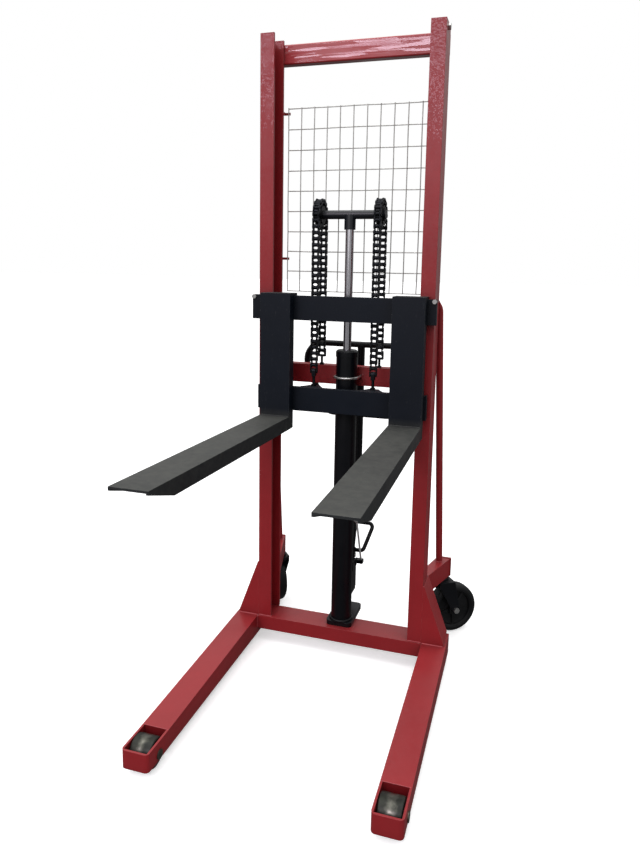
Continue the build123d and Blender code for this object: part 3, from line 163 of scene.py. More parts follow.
class Graph:
    """Short helper to wire a material's nodes."""

    def __init__(self, name):
        self.material = bpy.data.materials.new(name)
        self.material.use_nodes = True
        self.tree = self.material.node_tree
        self.tree.nodes.clear()
        out = self.add("ShaderNodeOutputMaterial")
        self.bsdf = self.add("ShaderNodeBsdfPrincipled")
        self.link(self.bsdf.outputs[0], out.inputs[0])
        self.coord = self.add("ShaderNodeTexCoord").outputs["Object"]

    def add(self, kind):
        return self.tree.nodes.new(kind)

    def link(self, a, b):
        self.tree.links.new(a, b)

    def put(self, socket, value):
        """Wire a value into a socket if it is an output, else set it."""
        if hasattr(value, "is_output"):
            self.link(value, socket)
        else:
            socket.default_value = value

    def set(self, name, value):
        """Give the surface's input of that name a value or an output."""
        self.put(self.bsdf.inputs[name], value)

    def stretched(self, scale):
        node = self.add("ShaderNodeMapping")
        self.link(self.coord, node.inputs["Vector"])
        node.inputs["Scale"].default_value = scale
        return node.outputs[0]

    def noise(self, scale, detail, rough=0.55, vector=None):
        node = self.add("ShaderNodeTexNoise")
        self.link(vector or self.coord, node.inputs["Vector"])
        node.inputs["Scale"].default_value = scale
        node.inputs["Detail"].default_value = detail
        node.inputs["Roughness"].default_value = rough
        return node.outputs["Fac"]

    def drawn_noise(self, grain, detail, rough):
        """Noise with its own scale along each axis."""
        return self.noise(1.0, detail, rough, self.stretched(grain))

    def remap(self, value, low, high, to_low=0.0, to_high=1.0):
        node = self.add("ShaderNodeMapRange")
        self.put(node.inputs["Value"], value)
        node.inputs["From Min"].default_value = low
        node.inputs["From Max"].default_value = high
        node.inputs["To Min"].default_value = to_low
        node.inputs["To Max"].default_value = to_high
        return node.outputs[0]

    def math(self, kind, a, b):
        node = self.add("ShaderNodeMath")
        node.operation = kind
        self.put(node.inputs[0], a)
        self.put(node.inputs[1], b)
        return node.outputs[0]

    def times(self, a, b):
        return self.math("MULTIPLY", a, b)

    def vector_math(self, kind, a, b):
        node = self.add("ShaderNodeVectorMath")
        node.operation = kind
        self.link(a, node.inputs[0])
        self.put(node.inputs[1], b)
        return node

    def mix(self, factor, a, b):
        """Colour between a and b."""
        node = self.add("ShaderNodeMix")
        node.data_type = "RGBA"
        self.put(node.inputs[0], factor)
        self.put(node.inputs[6], a)
        self.put(node.inputs[7], b)
        return node.outputs[2]

    def blend(self, factor, a, b):
        """Number between a and b."""
        node = self.add("ShaderNodeMix")
        node.data_type = "FLOAT"
        self.put(node.inputs[0], factor)
        self.put(node.inputs[2], a)
        self.put(node.inputs[3], b)
        return node.outputs[0]

    def axis(self, vector, letter):
        """One axis of a vector."""
        split = self.add("ShaderNodeSeparateXYZ")
        self.link(vector, split.inputs[0])
        return split.outputs[letter]

    def true_normal(self):
        return self.add("ShaderNodeNewGeometry").outputs["Normal"]

    def rounded(self, radius):
        """Normal that is rounded over the edges."""
        bevel = self.add("ShaderNodeBevel")
        bevel.samples = EDGE_SAMPLES
        bevel.inputs["Radius"].default_value = radius
        return bevel.outputs[0]

    def edge_mask(self, normal):
        """1 where a rounded normal turns away from the face, on sharp edges, else 0."""
        dot = self.vector_math("DOT_PRODUCT", normal, self.true_normal())
        return self.remap(dot.outputs["Value"], EDGE_FLAT, EDGE_SHARP)

    def painted_corner_shade(self, distance):
        """Painted shade: 1 in tight corners and boxes, where less light reaches, and 0 in the open.
        """
        node = self.add("ShaderNodeAmbientOcclusion")
        node.samples = HOLLOW_SAMPLES
        node.inputs["Distance"].default_value = distance
        return self.remap(node.outputs["AO"], HOLLOW_TIGHT, HOLLOW_OPEN, 1.0, 0.0)

    def upward(self, low, high):
        """0 to 1 as the normal's upward share goes from low to high."""
        return self.remap(self.axis(self.true_normal(), "Z"), low, high)

    def flakes(self, scale, tilt, normal):
        """Normal that turns a little, each way at random, from one small cell to the next."""
        cells = self.add("ShaderNodeTexVoronoi")
        cells.inputs["Scale"].default_value = 1.0
        self.link(self.stretched(scale), cells.inputs["Vector"])
        centred = self.vector_math("SUBTRACT", cells.outputs["Color"], (0.5, 0.5, 0.5))
        lean = self.vector_math("MULTIPLY", centred.outputs[0], (tilt, tilt, tilt))
        leaning = self.vector_math("ADD", lean.outputs[0], normal)
        unit = self.add("ShaderNodeVectorMath")
        unit.operation = "NORMALIZE"
        self.link(leaning.outputs[0], unit.inputs[0])
        return unit.outputs[0]

    def bump(self, height, strength, distance, normal):
        node = self.add("ShaderNodeBump")
        node.inputs["Strength"].default_value = strength
        node.inputs["Distance"].default_value = distance
        self.link(height, node.inputs["Height"])
        self.link(normal, node.inputs["Normal"])
        return node.outputs[0]


def paint(
    name, base, deep, rough, worn, wear, dust, dust_colour, peel,
    coat=0.0, shine=0.5, streaks=False, used=None,
):
    """Sprayed paint: broad tone changes, orange peel, dust on tops, rubbed edges, fine scuffs and
    shade painted dark into corners.

    Worn and dust_colour show by the shares wear and dust. Coat is the share of clear coat, and
    streaks draws it out along X. Used is a paler colour for what lies below BLADE_LINE.
    """
    g = Graph(name)
    normal = g.rounded(PAINT_EDGE)
    edge = g.edge_mask(normal)
    colour = g.mix(g.remap(g.noise(2.6, 6.0, 0.6), 0.3, 0.7), base, deep)
    if used:
        fade_end = (BLADE_LINE + RUB_FADE) * MM
        rubbed = g.remap(g.axis(g.coord, "Z"), BLADE_LINE * MM, fade_end, 1.0, 0.0)
        patchy = g.remap(g.noise(70.0, 7.0, 0.7), 0.36, 0.64, 0.6, 1.0)
        rubbed = g.times(rubbed, g.times(patchy, g.upward(-1.2, 0.9)))
        colour = g.mix(rubbed, colour, used)
    mottle = g.remap(g.noise(38.0, 3.0), 0.35, 0.7, 0.0, 0.22)
    colour = g.mix(mottle, colour, deep)
    drifts = g.remap(g.noise(7.0, 7.0, 0.65), 0.3, 0.75, 0.25, 1.0)
    settled = g.times(g.times(g.upward(0.55, 0.98), drifts), dust)
    colour = g.mix(settled, colour, dust_colour)
    scuff = g.times(g.remap(g.drawn_noise(SCUFF_GRAIN, 8.0, 0.7), 0.63, 0.74), wear)
    rub = g.times(g.times(edge, g.remap(g.noise(60.0, 6.0, 0.7), 0.42, 0.62)), wear)
    mark = g.math("MAXIMUM", rub, g.times(scuff, SCUFF_SHARE))
    colour = g.mix(mark, colour, worn)
    # Painted shade: where ambient occlusion finds a corner or recess, the colour goes towards a
    # darkened copy of the paint
    grime_and_painted_shade = g.times(g.painted_corner_shade(PAINTED_SHADE_REACH), PAINTED_SHADE_SHARE)
    g.set("Base Color", g.mix(grime_and_painted_shade, colour, [v * PAINTED_SHADE_DARK for v in deep[:3]] + [1.0]))
    gloss = g.remap(g.noise(14.0, 5.0), 0.3, 0.7, rough - 0.06, rough + 0.09)
    gloss = g.blend(settled, gloss, DUST_ROUGH)
    g.set("Roughness", g.blend(mark, gloss, MARK_ROUGH))
    g.set("Specular IOR Level", shine)
    waves = g.bump(g.noise(9.0, 3.0), 0.08, WAVE_DEPTH, normal)
    g.set("Normal", g.bump(g.noise(240.0, 3.0), peel, PEEL_DEPTH, waves))
    if coat:
        g.set("Coat Weight", coat)
        g.set("Coat Roughness", g.blend(settled, COAT_ROUGH, COAT_DUST_ROUGH))
        grain, tilt = (STREAK_GRAIN, STREAK_TILT) if streaks else (FLAKE_GRAIN, FLAKE_TILT)
        g.set("Coat Normal", g.flakes(grain, tilt, waves))
    return g.material


def metal(name, base, deep, rough, grime_and_painted_shade, grime_colour, grain, relief):
    """Bare or plated metal with grain lines, tone changes and grime in patches."""
    g = Graph(name)
    normal = g.rounded(METAL_EDGE)
    lines = g.drawn_noise(grain, 5.0, 0.6)
    colour = g.mix(g.remap(lines, 0.3, 0.7), base, deep)
    dirt = g.times(g.remap(g.noise(24.0, 7.0, 0.65), 0.45, 0.68), grime_and_painted_shade)
    g.set("Base Color", g.mix(dirt, colour, grime_colour))
    g.set("Metallic", g.blend(dirt, 1.0, DIRT_METALLIC))
    gloss = g.remap(lines, 0.25, 0.75, rough - 0.07, rough + 0.1)
    g.set("Roughness", g.blend(dirt, gloss, DIRT_ROUGH))
    g.set("Normal", g.bump(lines, relief, LINE_DEPTH, normal))
    return g.material


def moulded(name, base, deep, rough, scuffed):
    """Black moulded wheel: fine pores and pale scuffs."""
    g = Graph(name)
    normal = g.rounded(MOULD_EDGE)
    colour = g.mix(g.remap(g.noise(18.0, 6.0, 0.6), 0.35, 0.7), base, deep)
    scuff = g.remap(g.drawn_noise(MOULD_SCUFF_GRAIN, 7.0, 0.7), 0.58, 0.75, 0.0, 0.5)
    g.set("Base Color", g.mix(scuff, colour, scuffed))
    g.set("Roughness", g.remap(g.noise(30.0, 4.0), 0.3, 0.7, rough - 0.1, rough + 0.12))
    g.set("Specular IOR Level", MOULD_SHINE)
    g.set("Normal", g.bump(g.noise(300.0, 3.0), 0.15, PORE_DEPTH, normal))
    return g.material


TREAD_GRAIN = (180.0, 6.0, 6.0)
TREAD_DEPTH = 0.0004
BAND_WANDER = 0.006
BAND_CORE = 0.001
BAND_EDGE = 0.013
BAND_SHARE = 0.75
BAND_ROUGH = 0.28
TREAD_EDGE_SHARE = 0.6


def worn_tread(name):
    """Dark oily roller with a bright band that the floor has rubbed in the middle of its tread."""
    g = Graph(name)
    normal = g.rounded(METAL_EDGE)
    edge = g.edge_mask(normal)
    side = g.math("ABSOLUTE", g.axis(g.coord, "X"), 0.0)
    off = g.math("ABSOLUTE", g.math("SUBTRACT", side, ROLLER_X * MM), 0.0)
    wander = g.remap(g.noise(45.0, 4.0), 0.3, 0.7, -BAND_WANDER, BAND_WANDER)
    band = g.remap(g.math("ADD", off, wander), BAND_CORE, BAND_EDGE, 1.0, 0.0)
    oil = g.remap(g.noise(26.0, 6.0, 0.65), 0.35, 0.7)
    dark = g.mix(oil, linear(52, 54, 46), linear(26, 27, 27))
    colour = g.mix(g.times(band, BAND_SHARE), dark, linear(128, 127, 118))
    g.set("Base Color", g.mix(g.times(edge, TREAD_EDGE_SHARE), colour, linear(150, 148, 140)))
    g.set("Metallic", g.blend(band, 0.55, 1.0))
    g.set("Roughness", g.blend(band, g.remap(oil, 0.0, 1.0, 0.5, 0.32), BAND_ROUGH))
    g.set("Normal", g.bump(g.drawn_noise(TREAD_GRAIN, 5.0, 0.6), 0.15, TREAD_DEPTH, normal))
    return g.material


RED = paint(
    "red_gloss", base=linear(160, 34, 40), deep=linear(141, 25, 31), rough=0.42,
    worn=linear(200, 120, 116), wear=0.45, dust=0.06, dust_colour=linear(190, 120, 120),
    peel=0.15, coat=0.2, shine=0.42,
)
# Painted light: the top bar's red is a lighter copy of the frame's red, so the bar reads more
# brightly lit; its clear coat and streaks are real gloss
LIT_BAR_RED = paint(
    "red_bar_lit_gloss", base=linear(172, 34, 42), deep=linear(152, 24, 32), rough=0.42,
    worn=linear(206, 130, 126), wear=0.45, dust=0.06, dust_colour=linear(190, 120, 120),
    peel=0.15, coat=0.9, shine=0.42, streaks=True,
)
# Painted highlight: the weld beads' red is a lighter, pinker copy of the frame's red paint that
# covers them
LIT_WELD = paint(
    "red_weld_lit", base=linear(188, 72, 78), deep=linear(168, 50, 58), rough=0.42,
    worn=linear(214, 150, 144), wear=0.5, dust=0.10, dust_colour=linear(206, 160, 156),
    peel=0.20, coat=0.1,
)
DARK = paint(
    "carriage_black", base=linear(8, 17, 29), deep=linear(6, 12, 22), rough=0.45,
    worn=linear(76, 82, 90), wear=0.45, dust=0.10, dust_colour=linear(84, 88, 90),
    peel=0.15, shine=0.22,
)
FORK = paint(
    "fork_black", base=linear(8, 17, 29), deep=linear(6, 12, 22), rough=0.48,
    worn=linear(110, 113, 112), wear=0.8, dust=0.40, dust_colour=linear(96, 97, 92),
    peel=0.20, shine=0.24, used=linear(64, 65, 62),
)
BLACK = paint(
    "pump_black", base=linear(7, 9, 15), deep=linear(5, 6, 11), rough=0.32,
    worn=linear(76, 80, 86), wear=0.3, dust=0.12, dust_colour=linear(66, 69, 74),
    peel=0.12, shine=0.26,
)
CHROME = metal(
    "ram_chrome", base=linear(214, 212, 218), deep=linear(190, 188, 194), rough=0.18,
    grime_and_painted_shade=0.0, grime_colour=linear(60, 56, 48), grain=(60.0, 60.0, 0.8), relief=0.0,
)
STEEL = metal(
    "roller_steel", base=linear(122, 121, 110), deep=linear(84, 84, 76), rough=0.36,
    grime_and_painted_shade=0.7, grime_colour=linear(46, 44, 36), grain=(4.0, 160.0, 160.0), relief=0.2,
)
TREAD = worn_tread("roller_tread")
CHAIN = metal(
    "chain_steel", base=linear(44, 46, 50), deep=linear(26, 28, 31), rough=0.4,
    grime_and_painted_shade=0.5, grime_colour=linear(14, 14, 13), grain=(120.0, 120.0, 120.0), relief=0.15,
)
CROSS = paint(
    "crosshead_black", base=linear(22, 26, 34), deep=linear(13, 16, 22), rough=0.32,
    worn=linear(92, 94, 100), wear=0.5, dust=0.12, dust_colour=linear(76, 79, 84),
    peel=0.12,
)
ZINC = metal(
    "zinc_plate", base=linear(206, 206, 204), deep=linear(170, 170, 168), rough=0.3,
    grime_and_painted_shade=0.25, grime_colour=linear(96, 90, 78), grain=(60.0, 60.0, 60.0), relief=0.08,
)
WIRE = metal(
    "guard_wire_grey", base=linear(206, 206, 202), deep=linear(178, 178, 174), rough=0.5,
    grime_and_painted_shade=0.4, grime_colour=linear(150, 148, 140), grain=(80.0, 80.0, 80.0), relief=0.08,
)
PALE = paint(
    "rod_pale", base=linear(206, 207, 208), deep=linear(182, 183, 184), rough=0.3,
    worn=linear(220, 220, 218), wear=0.3, dust=0.05, dust_colour=linear(160, 158, 152),
    peel=0.10,
)
TYRE = moulded(
    "wheel_black", base=linear(15, 16, 18), deep=linear(9, 10, 12), rough=0.5,
    scuffed=linear(44, 44, 44),
)

NODE_MATERIAL = {
    "red_paint": RED,
    "carriage_paint": DARK,
    "black_paint": BLACK,
    "rod_chrome": CHROME,
    "machined_steel": STEEL,
    "chain_steel": CHAIN,
    "plated_steel": ZINC,
    "wheel_black": TYRE,
    "guard_wire": WIRE,
}
OWN_MATERIAL = {
    "top_crossbar": LIT_BAR_RED,
    "fork_left": FORK,
    "fork_right": FORK,
    "crosshead": CROSS,
    "carriage_chain_anchors": CHAIN,
    "beam_chain_anchors": CHAIN,
    "lever_pin": CHAIN,
    "pump_plunger": ZINC,
    "release_rod": PALE,
}
SLOT_OF = {row["node"]: row["material_slot"] for row in frame["record"]["subparts"]}
for node_name, node in frame["nodes"].items():
    look = OWN_MATERIAL.get(node_name, NODE_MATERIAL[SLOT_OF[node_name]])
    node.data.materials.clear()
    node.data.materials.append(look)


# Mesh helpers

WELD_SHARP = 60.0
LATHE_STEPS = 96
ALONG_Z = 1e-4
RIPPLE_STEP = 2.6
RIPPLE_MEAN = 0.86
RIPPLE_SWING = 0.14
RIPPLE_TURN = 2.1
RIPPLE_CHANCE = 0.1
BEAD_END = 0.5
BEAD_SIDES = 8


def piece(name, bm, material, body=None, sharp=35.0):
    """Finish a bmesh as a named piece that rides on a body, if one is given."""
    bmesh.ops.recalc_face_normals(bm, faces=bm.faces)
    mesh = bpy.data.meshes.new(name)
    bm.to_mesh(mesh)
    bm.free()
    for face in mesh.polygons:
        face.use_smooth = True
    mesh.set_sharp_from_angle(angle=math.radians(sharp))
    mesh.materials.append(material)
    obj = bpy.data.objects.new(name, mesh)
    bpy.context.scene.collection.objects.link(obj)
    if body:
        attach(obj, body)
    return obj


def square_to(direction):
    """Two unit vectors square to a direction."""
    d = direction.normalized()
    side = d.cross(Vector((0, 0, 1)))
    if side.length < ALONG_Z:
        side = d.cross(Vector((0, 1, 0)))
    side.normalize()
    return side, d.cross(side).normalized()


def bridge(bm, a, b):
    """Faces between two rings of as many points."""
    count = len(a)
    for i in range(count):
        bm.faces.new((a[i], a[(i + 1) % count], b[(i + 1) % count], b[i]))


def capped(bm, first, last):
    """Solid between two outlines of as many points."""
    low = [bm.verts.new(p) for p in first]
    high = [bm.verts.new(p) for p in last]
    bridge(bm, low, high)
    bm.faces.new(low)
    bm.faces.new(high)


def tube(bm, points, radius, steps, closed=False):
    """Round bar along points, radius one value or one per point."""
    count = len(points)
    radii = radius if isinstance(radius, (list, tuple)) else [radius] * count
    rings = []
    side = None
    for i, point in enumerate(points):
        before = points[i - 1] if i or closed else point
        after = points[(i + 1) % count] if i < count - 1 or closed else point
        along = (after - before).normalized()
        if side is None:
            side = square_to(along)[0]
        side = (side - along * side.dot(along)).normalized()
        up = along.cross(side)
        rings.append([
            bm.verts.new(point + (side * math.cos(a) + up * math.sin(a)) * radii[i])
            for a in turns(steps, steps)
        ])
    for i in range(count - 1):
        bridge(bm, rings[i], rings[i + 1])
    if closed:
        bridge(bm, rings[-1], rings[0])
    else:
        bm.faces.new(rings[0])
        bm.faces.new(rings[-1])


def lathe(bm, origin, axis, profile):
    """Turned solid from (radius, along) pairs in millimetres, closed on itself."""
    axis = axis.normalized()
    side, up = square_to(axis)
    rings = []
    for radius, along in profile:
        middle = origin + axis * along * MM
        rings.append([
            bm.verts.new(middle + (side * math.cos(a) + up * math.sin(a)) * radius * MM)
            for a in turns(LATHE_STEPS, LATHE_STEPS)
        ])
    for i in range(len(rings)):
        bridge(bm, rings[i - 1], rings[i])


def bead(bm, points, radius, dice):
    """Weld bead along a line, with ripples of uneven size."""
    line = []
    sizes = []
    for a, b in zip(points, points[1:]):
        count = max(2, int((b - a).length / (RIPPLE_STEP * MM)))
        for i in range(count):
            line.append(a.lerp(b, i / count))
    line.append(points[-1])
    for i in range(len(line)):
        chance = dice.uniform(-RIPPLE_CHANCE, RIPPLE_CHANCE)
        ripple = RIPPLE_MEAN + RIPPLE_SWING * math.cos(i * RIPPLE_TURN) + chance
        sizes.append(radius * ripple * MM)
    sizes[0] *= BEAD_END
    sizes[-1] *= BEAD_END
    tube(bm, line, sizes, BEAD_SIDES)


# Roller chains

INNER_PLATE = 12.57 / 2
PLATE_T = 2.4
PLATE_GAP = 0.25
PIN_OVER = 1.0
OUTER_PLATE = INNER_PLATE + PLATE_T + PLATE_GAP
PIN_END = OUTER_PLATE + PLATE_T + PIN_OVER
PLATE_R = 8.5
PLATE_SWEEP = 130
PLATE_STEPS = 8
WAIST_R = 6.4
ROLLER_R = 5.95
ROLLER_GAP = 0.2
ROLLER_EDGE = 0.7
ROLLER_EDGE_R = ROLLER_R - 0.6
ROLLER_SIDES = 16
PIN_R = 2.9
PIN_TIP_R = 2.0
PIN_TIP = 0.6
PIN_SIDES = 10


def plate_outline():
    """Waisted link plate as (along, across) pairs."""
    points = []
    for centre, middle, waist in ((0, 180, -WAIST_R), (PITCH, 0, WAIST_R)):
        for k in range(PLATE_STEPS + 1):
            turn = math.radians(middle - PLATE_SWEEP / 2 + PLATE_SWEEP * k / PLATE_STEPS)
            points.append((centre + PLATE_R * math.cos(turn), PLATE_R * math.sin(turn)))
        points.append((PITCH / 2, waist))
    return points


OUTLINE = plate_outline()
ACROSS = Vector((1, 0, 0))
PIN_ENDS = (-PIN_END - PIN_TIP, -PIN_END, PIN_END, PIN_END + PIN_TIP)
PIN_RADII = (PIN_TIP_R, PIN_R, PIN_R, PIN_TIP_R)
ROLLER_RIM = INNER_PLATE - ROLLER_GAP
ROLLER_ENDS = (-ROLLER_RIM, -ROLLER_RIM + ROLLER_EDGE, ROLLER_RIM - ROLLER_EDGE, ROLLER_RIM)
ROLLER_RADII = (ROLLER_EDGE_R, ROLLER_R, ROLLER_R, ROLLER_EDGE_R)


def add_link(bm, x, here, there, outer):
    """One chain link between two pins given as (y, z) in millimetres."""
    start = at(x, here[0], here[1])
    along = (at(x, there[0], there[1]) - start).normalized()
    square = ACROSS.cross(along)
    face = OUTER_PLATE if outer else INNER_PLATE
    for way in (-1, 1):
        aside = start + ACROSS * way * face * MM
        rim = [aside + along * u * MM + square * v * MM for u, v in OUTLINE]
        capped(bm, rim, [p + ACROSS * way * PLATE_T * MM for p in rim])
    ends, radii, sides = (ROLLER_ENDS, ROLLER_RADII, ROLLER_SIDES)
    if outer:
        ends, radii, sides = (PIN_ENDS, PIN_RADII, PIN_SIDES)
    for step in (0, PITCH):
        middle = start + along * step * MM
        tube(bm, [middle + ACROSS * e * MM for e in ends], [r * MM for r in radii], sides)


FRONT_Y = RAM_Y - PITCH_R
BACK_Y = RAM_Y + PITCH_R
PINS = [(FRONT_Y, CROSS_Z - PITCH * k) for k in range(FRONT_PITCHES, 0, -1)]
for angle in reversed(turns(WRAP_PITCHES + 1, TEETH)):
    PINS.append((RAM_Y + PITCH_R * math.cos(angle), CROSS_Z + PITCH_R * math.sin(angle)))
PINS += [(BACK_Y, CROSS_Z - PITCH * k) for k in range(1, BACK_PITCHES + 1)]
WRAP_FIRST = FRONT_PITCHES
WRAP_LAST = FRONT_PITCHES + WRAP_PITCHES


def links(name, first, last):
    """The links of both chains from one pin to another, as one piece."""
    bm = bmesh.new()
    for x in (-CHAIN_X, CHAIN_X):
        for i in range(first, last):
            add_link(bm, x, PINS[i], PINS[i + 1], i % 2 == 0)
    return piece(name, bm, CHAIN)


def stretch_run(prefix, first, groups):
    """Chain strand in short groups of links, each group a piece of its own."""
    made = []
    number = first
    for index, size in enumerate(groups):
        stop = number + size
        obj = links("%s_%d" % (prefix, index + 1), number, stop)
        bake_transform(obj)
        made.append(obj)
        number = stop
    return made


# Two links of each strand keep their shape beside the sprocket's teeth
KEPT_LINKS = 2
FRONT_GROUPS = (1, 2, 4, 10, 4, 2, 1)
BACK_GROUPS = (1, 2, 4, 7, 4, 2, 1)
FRONT_END = WRAP_FIRST - KEPT_LINKS
BACK_START = WRAP_LAST + KEPT_LINKS
front_run = stretch_run("chain_front_run", 0, FRONT_GROUPS)
back_run = stretch_run("chain_back_run", BACK_START, BACK_GROUPS)
wrap = links("chain_wrap_links", FRONT_END, BACK_START)
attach(wrap, "ram")
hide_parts("chain_front")
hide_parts("chain_back")
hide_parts("chain_wrap")

# Wire guard: welded wires, uprights in front of the level ones

GUARD_Y = 107.2
WIRE_R = 1.7
WIRE_SIDES = 8
WIRE_APART = 1.4
WIRE_DRIFT = 0.8
WIRE_OVER = 2
WIRE_SPANS = 6
COLUMN_FIRST = -227.0
COLUMN_STEP = 43.5
COLUMN_COUNT = 12
ROW_FIRST = 1213.9
ROW_STEP = 64.9
ROW_COUNT = 10
COLUMNS = [COLUMN_FIRST + COLUMN_STEP * k for k in range(COLUMN_COUNT)]
ROWS = [ROW_FIRST + ROW_STEP * k for k in range(ROW_COUNT)]


def bent_wire(dice, crossings):
    """Pairs of drift and place along a wire that ends a little past its outer crossings."""
    drift = [dice.uniform(-WIRE_DRIFT, WIRE_DRIFT) for _ in range(WIRE_SPANS + 1)]
    length = crossings[-1] - crossings[0] + 2 * WIRE_OVER
    places = [crossings[0] - WIRE_OVER + length * k / WIRE_SPANS for k in range(WIRE_SPANS + 1)]
    return zip(drift, places)


dice = random.Random(7)
bm = bmesh.new()
for x in COLUMNS:
    wire = [at(x + d, GUARD_Y - WIRE_APART, z) for d, z in bent_wire(dice, ROWS)]
    tube(bm, wire, WIRE_R * MM, WIRE_SIDES)
for z in ROWS:
    wire = [at(x, GUARD_Y + WIRE_APART, z + d) for d, x in bent_wire(dice, COLUMNS)]
    tube(bm, wire, WIRE_R * MM, WIRE_SIDES)
guard = piece("guard_wires", bm, WIRE, "frame")
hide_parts("mesh_guard")

# Front rollers: turned steel with a worn tread and bearing seats, as (radius, along) pairs

ROLLER_SHARP = 25.0
ROLLER_PROFILE = [
    (10.3, -29.4), (17.0, -29.6), (17.6, -28.0), (25.0, -28.0), (26.0, -30.0), (35.0, -30.0),
    (37.3, -29.2), (38.7, -27.6), (39.2, -25.0), (39.5, -19.0), (39.46, -8.0), (39.5, 4.0),
    (39.47, 13.0), (39.5, 19.0), (39.2, 25.0), (38.7, 27.6), (37.3, 29.2), (35.0, 30.0),
    (26.0, 30.0), (25.0, 28.0), (17.6, 28.0), (17.0, 29.6), (10.3, 29.4),
]
for word, side in (("left", -1), ("right", 1)):
    bm = bmesh.new()
    lathe(bm, at(side * ROLLER_X, ROLLER_Y, ROLLER_TREAD_R), ACROSS, ROLLER_PROFILE)
    roller = piece("front_roller_steel_" + word, bm, TREAD, "front_roller_" + word, ROLLER_SHARP)
    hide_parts("front_roller_" + word)

# Caster wheels: rounded tread, dished hub with spokes and bearing caps. A spoke's ends are
# (radius, half width, height)

WHEEL_SHARP = 28.0
WHEEL_HALF = [
    (88.0, 0.0), (87.8, 9.0), (87.0, 15.0), (84.8, 19.6), (81.0, 22.6), (76.5, 23.8),
    (70.0, 24.0), (69.0, 23.0), (68.4, 21.0), (65.4, 20.6), (63.4, 19.4), (62.0, 12.0),
    (60.2, 9.4), (57.2, 8.8), (34.0, 8.8), (26.0, 10.0), (23.0, 14.0), (21.4, 28.0),
    (20.0, 29.8), (14.0, 29.9), (13.4, 28.6), (6.3, 28.6),
]
WHEEL_PROFILE = [(r, -a) for r, a in reversed(WHEEL_HALF)][:-1] + WHEEL_HALF
SPOKES = 5
SPOKE_START = 0.3
SPOKE_ENDS = ((20.5, 7.0, 17.0), (63.2, 4.6, 12.5))
SPOKE_FOOT = 8.0
SPOKE_TAPER = 1.6
for word, side, turn in CASTER_TURNS:
    turn = math.radians(turn)
    axis = Vector((-math.sin(turn), math.cos(turn), 0))
    hub = at(side * KING_X + TRAIL * math.cos(turn), KING_Y + TRAIL * math.sin(turn), WHEEL_R)
    side_way, up_way = square_to(axis)
    bm = bmesh.new()
    lathe(bm, hub, axis, WHEEL_PROFILE)
    for way in (-1, 1):
        for spoke in turns(SPOKES, SPOKES):
            spoke += SPOKE_START
            out = side_way * math.cos(spoke) + up_way * math.sin(spoke)
            across = axis.cross(out)
            corners = []
            for r, w, h in SPOKE_ENDS:
                base = hub + out * r * MM + axis * way * SPOKE_FOOT * MM
                top = hub + out * r * MM + axis * way * h * MM
                narrow = w - SPOKE_TAPER
                corners.append([
                    base - across * w * MM, base + across * w * MM,
                    top + across * narrow * MM, top - across * narrow * MM,
                ])
            capped(bm, *corners)
    wheel = piece("caster_wheel_moulded_" + word, bm, TYRE, "wheel_" + word, WHEEL_SHARP)
    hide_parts("caster_wheel_" + word)

# Weld beads on the frame, painted over: radius, then points as (x, y, z) on the right-hand side

FRONT_SKIN = -0.2
REAR_SKIN = CHANNEL_DEPTH + 1
MAST_FOOT = BASE_TOP + 0.5
FLANGE_RETURN = 8.5
LEG_LINE = LEG_TOP + 0.4
TIP_LINE = TIP_TOP - 0.4
BRACKET_A = (BRACKET_IN, CHANNEL_DEPTH, BRACKET_LOW)
BRACKET_B = (BRACKET_OUT, CHANNEL_DEPTH, BRACKET_LOW)
BRACKET_C = (BRACKET_IN, CHANNEL_DEPTH, BRACKET_HIGH)
BRACKET_D = (BRACKET_OUT, CHANNEL_DEPTH, BRACKET_HIGH)
FRAME_BEADS = (
    (2.4, (MAST_HALF, FRONT_SKIN, MAST_FOOT), (MAST_INNER, FRONT_SKIN, MAST_FOOT),
     (MAST_INNER, FLANGE_RETURN, MAST_FOOT)),
    (3.0, (LEG_INNER, FRONT_SKIN, LEG_LINE), (GUSSET_TOE, FRONT_SKIN, LEG_LINE)),
    (2.4, (LEG_INNER, BASE_FRONT, LEG_TOP), (LEG_INNER, BASE_FRONT, BASE_BOTTOM)),
    (2.4, (LEG_INNER, BASE_FRONT, LEG_TOP), (LEG_INNER, 0, LEG_TOP)),
    (1.2, (LEG_INNER + 1, TIP_BACK, TIP_LINE), (LEG_OUTER - 1, TIP_BACK, TIP_LINE)),
    (2.0, (MAST_HALF, 0, GUSSET_TOP), (MAST_HALF + 3, 1, GUSSET_TOP)),
    (3.0, BRACKET_A, BRACKET_B),
    (3.0, BRACKET_C, BRACKET_D),
    (3.0, BRACKET_A, BRACKET_C),
    (2.4, (MAST_INNER + 2, CHANNEL_DEPTH, TOP_BAR_LOW),
     (MAST_HALF - 6, CHANNEL_DEPTH, TOP_BAR_LOW)),
    (2.4, (MAST_INNER, REAR_SKIN, MID_LOW + 2), (MAST_INNER, REAR_SKIN, MID_HIGH - 2)),
)
STAY_BEAD_R = 1.8
STAY_RING_X = 12.0
STAY_RING_Y = 12.2
STAY_RING_Z = BRACKET_HIGH + 0.4
STAY_RING_STEPS = 16
dice = random.Random(11)
bm = bmesh.new()
for s in (-1, 1):
    for radius, *points in FRAME_BEADS:
        bead(bm, [at(s * x, y, z) for x, y, z in points], radius, dice)
    foot = []
    for a in turns(STAY_RING_STEPS + 1, STAY_RING_STEPS):
        x = s * STAY_FOOT_X + STAY_RING_X * math.cos(a)
        y = STAY_FOOT_Y + STAY_RING_Y * math.sin(a)
        foot.append(at(x, y, STAY_RING_Z))
    bead(bm, foot, STAY_BEAD_R, dice)
welds = piece("frame_welds", bm, LIT_WELD, "frame", WELD_SHARP)

# Rolled bead where the cylinder stands on its foot

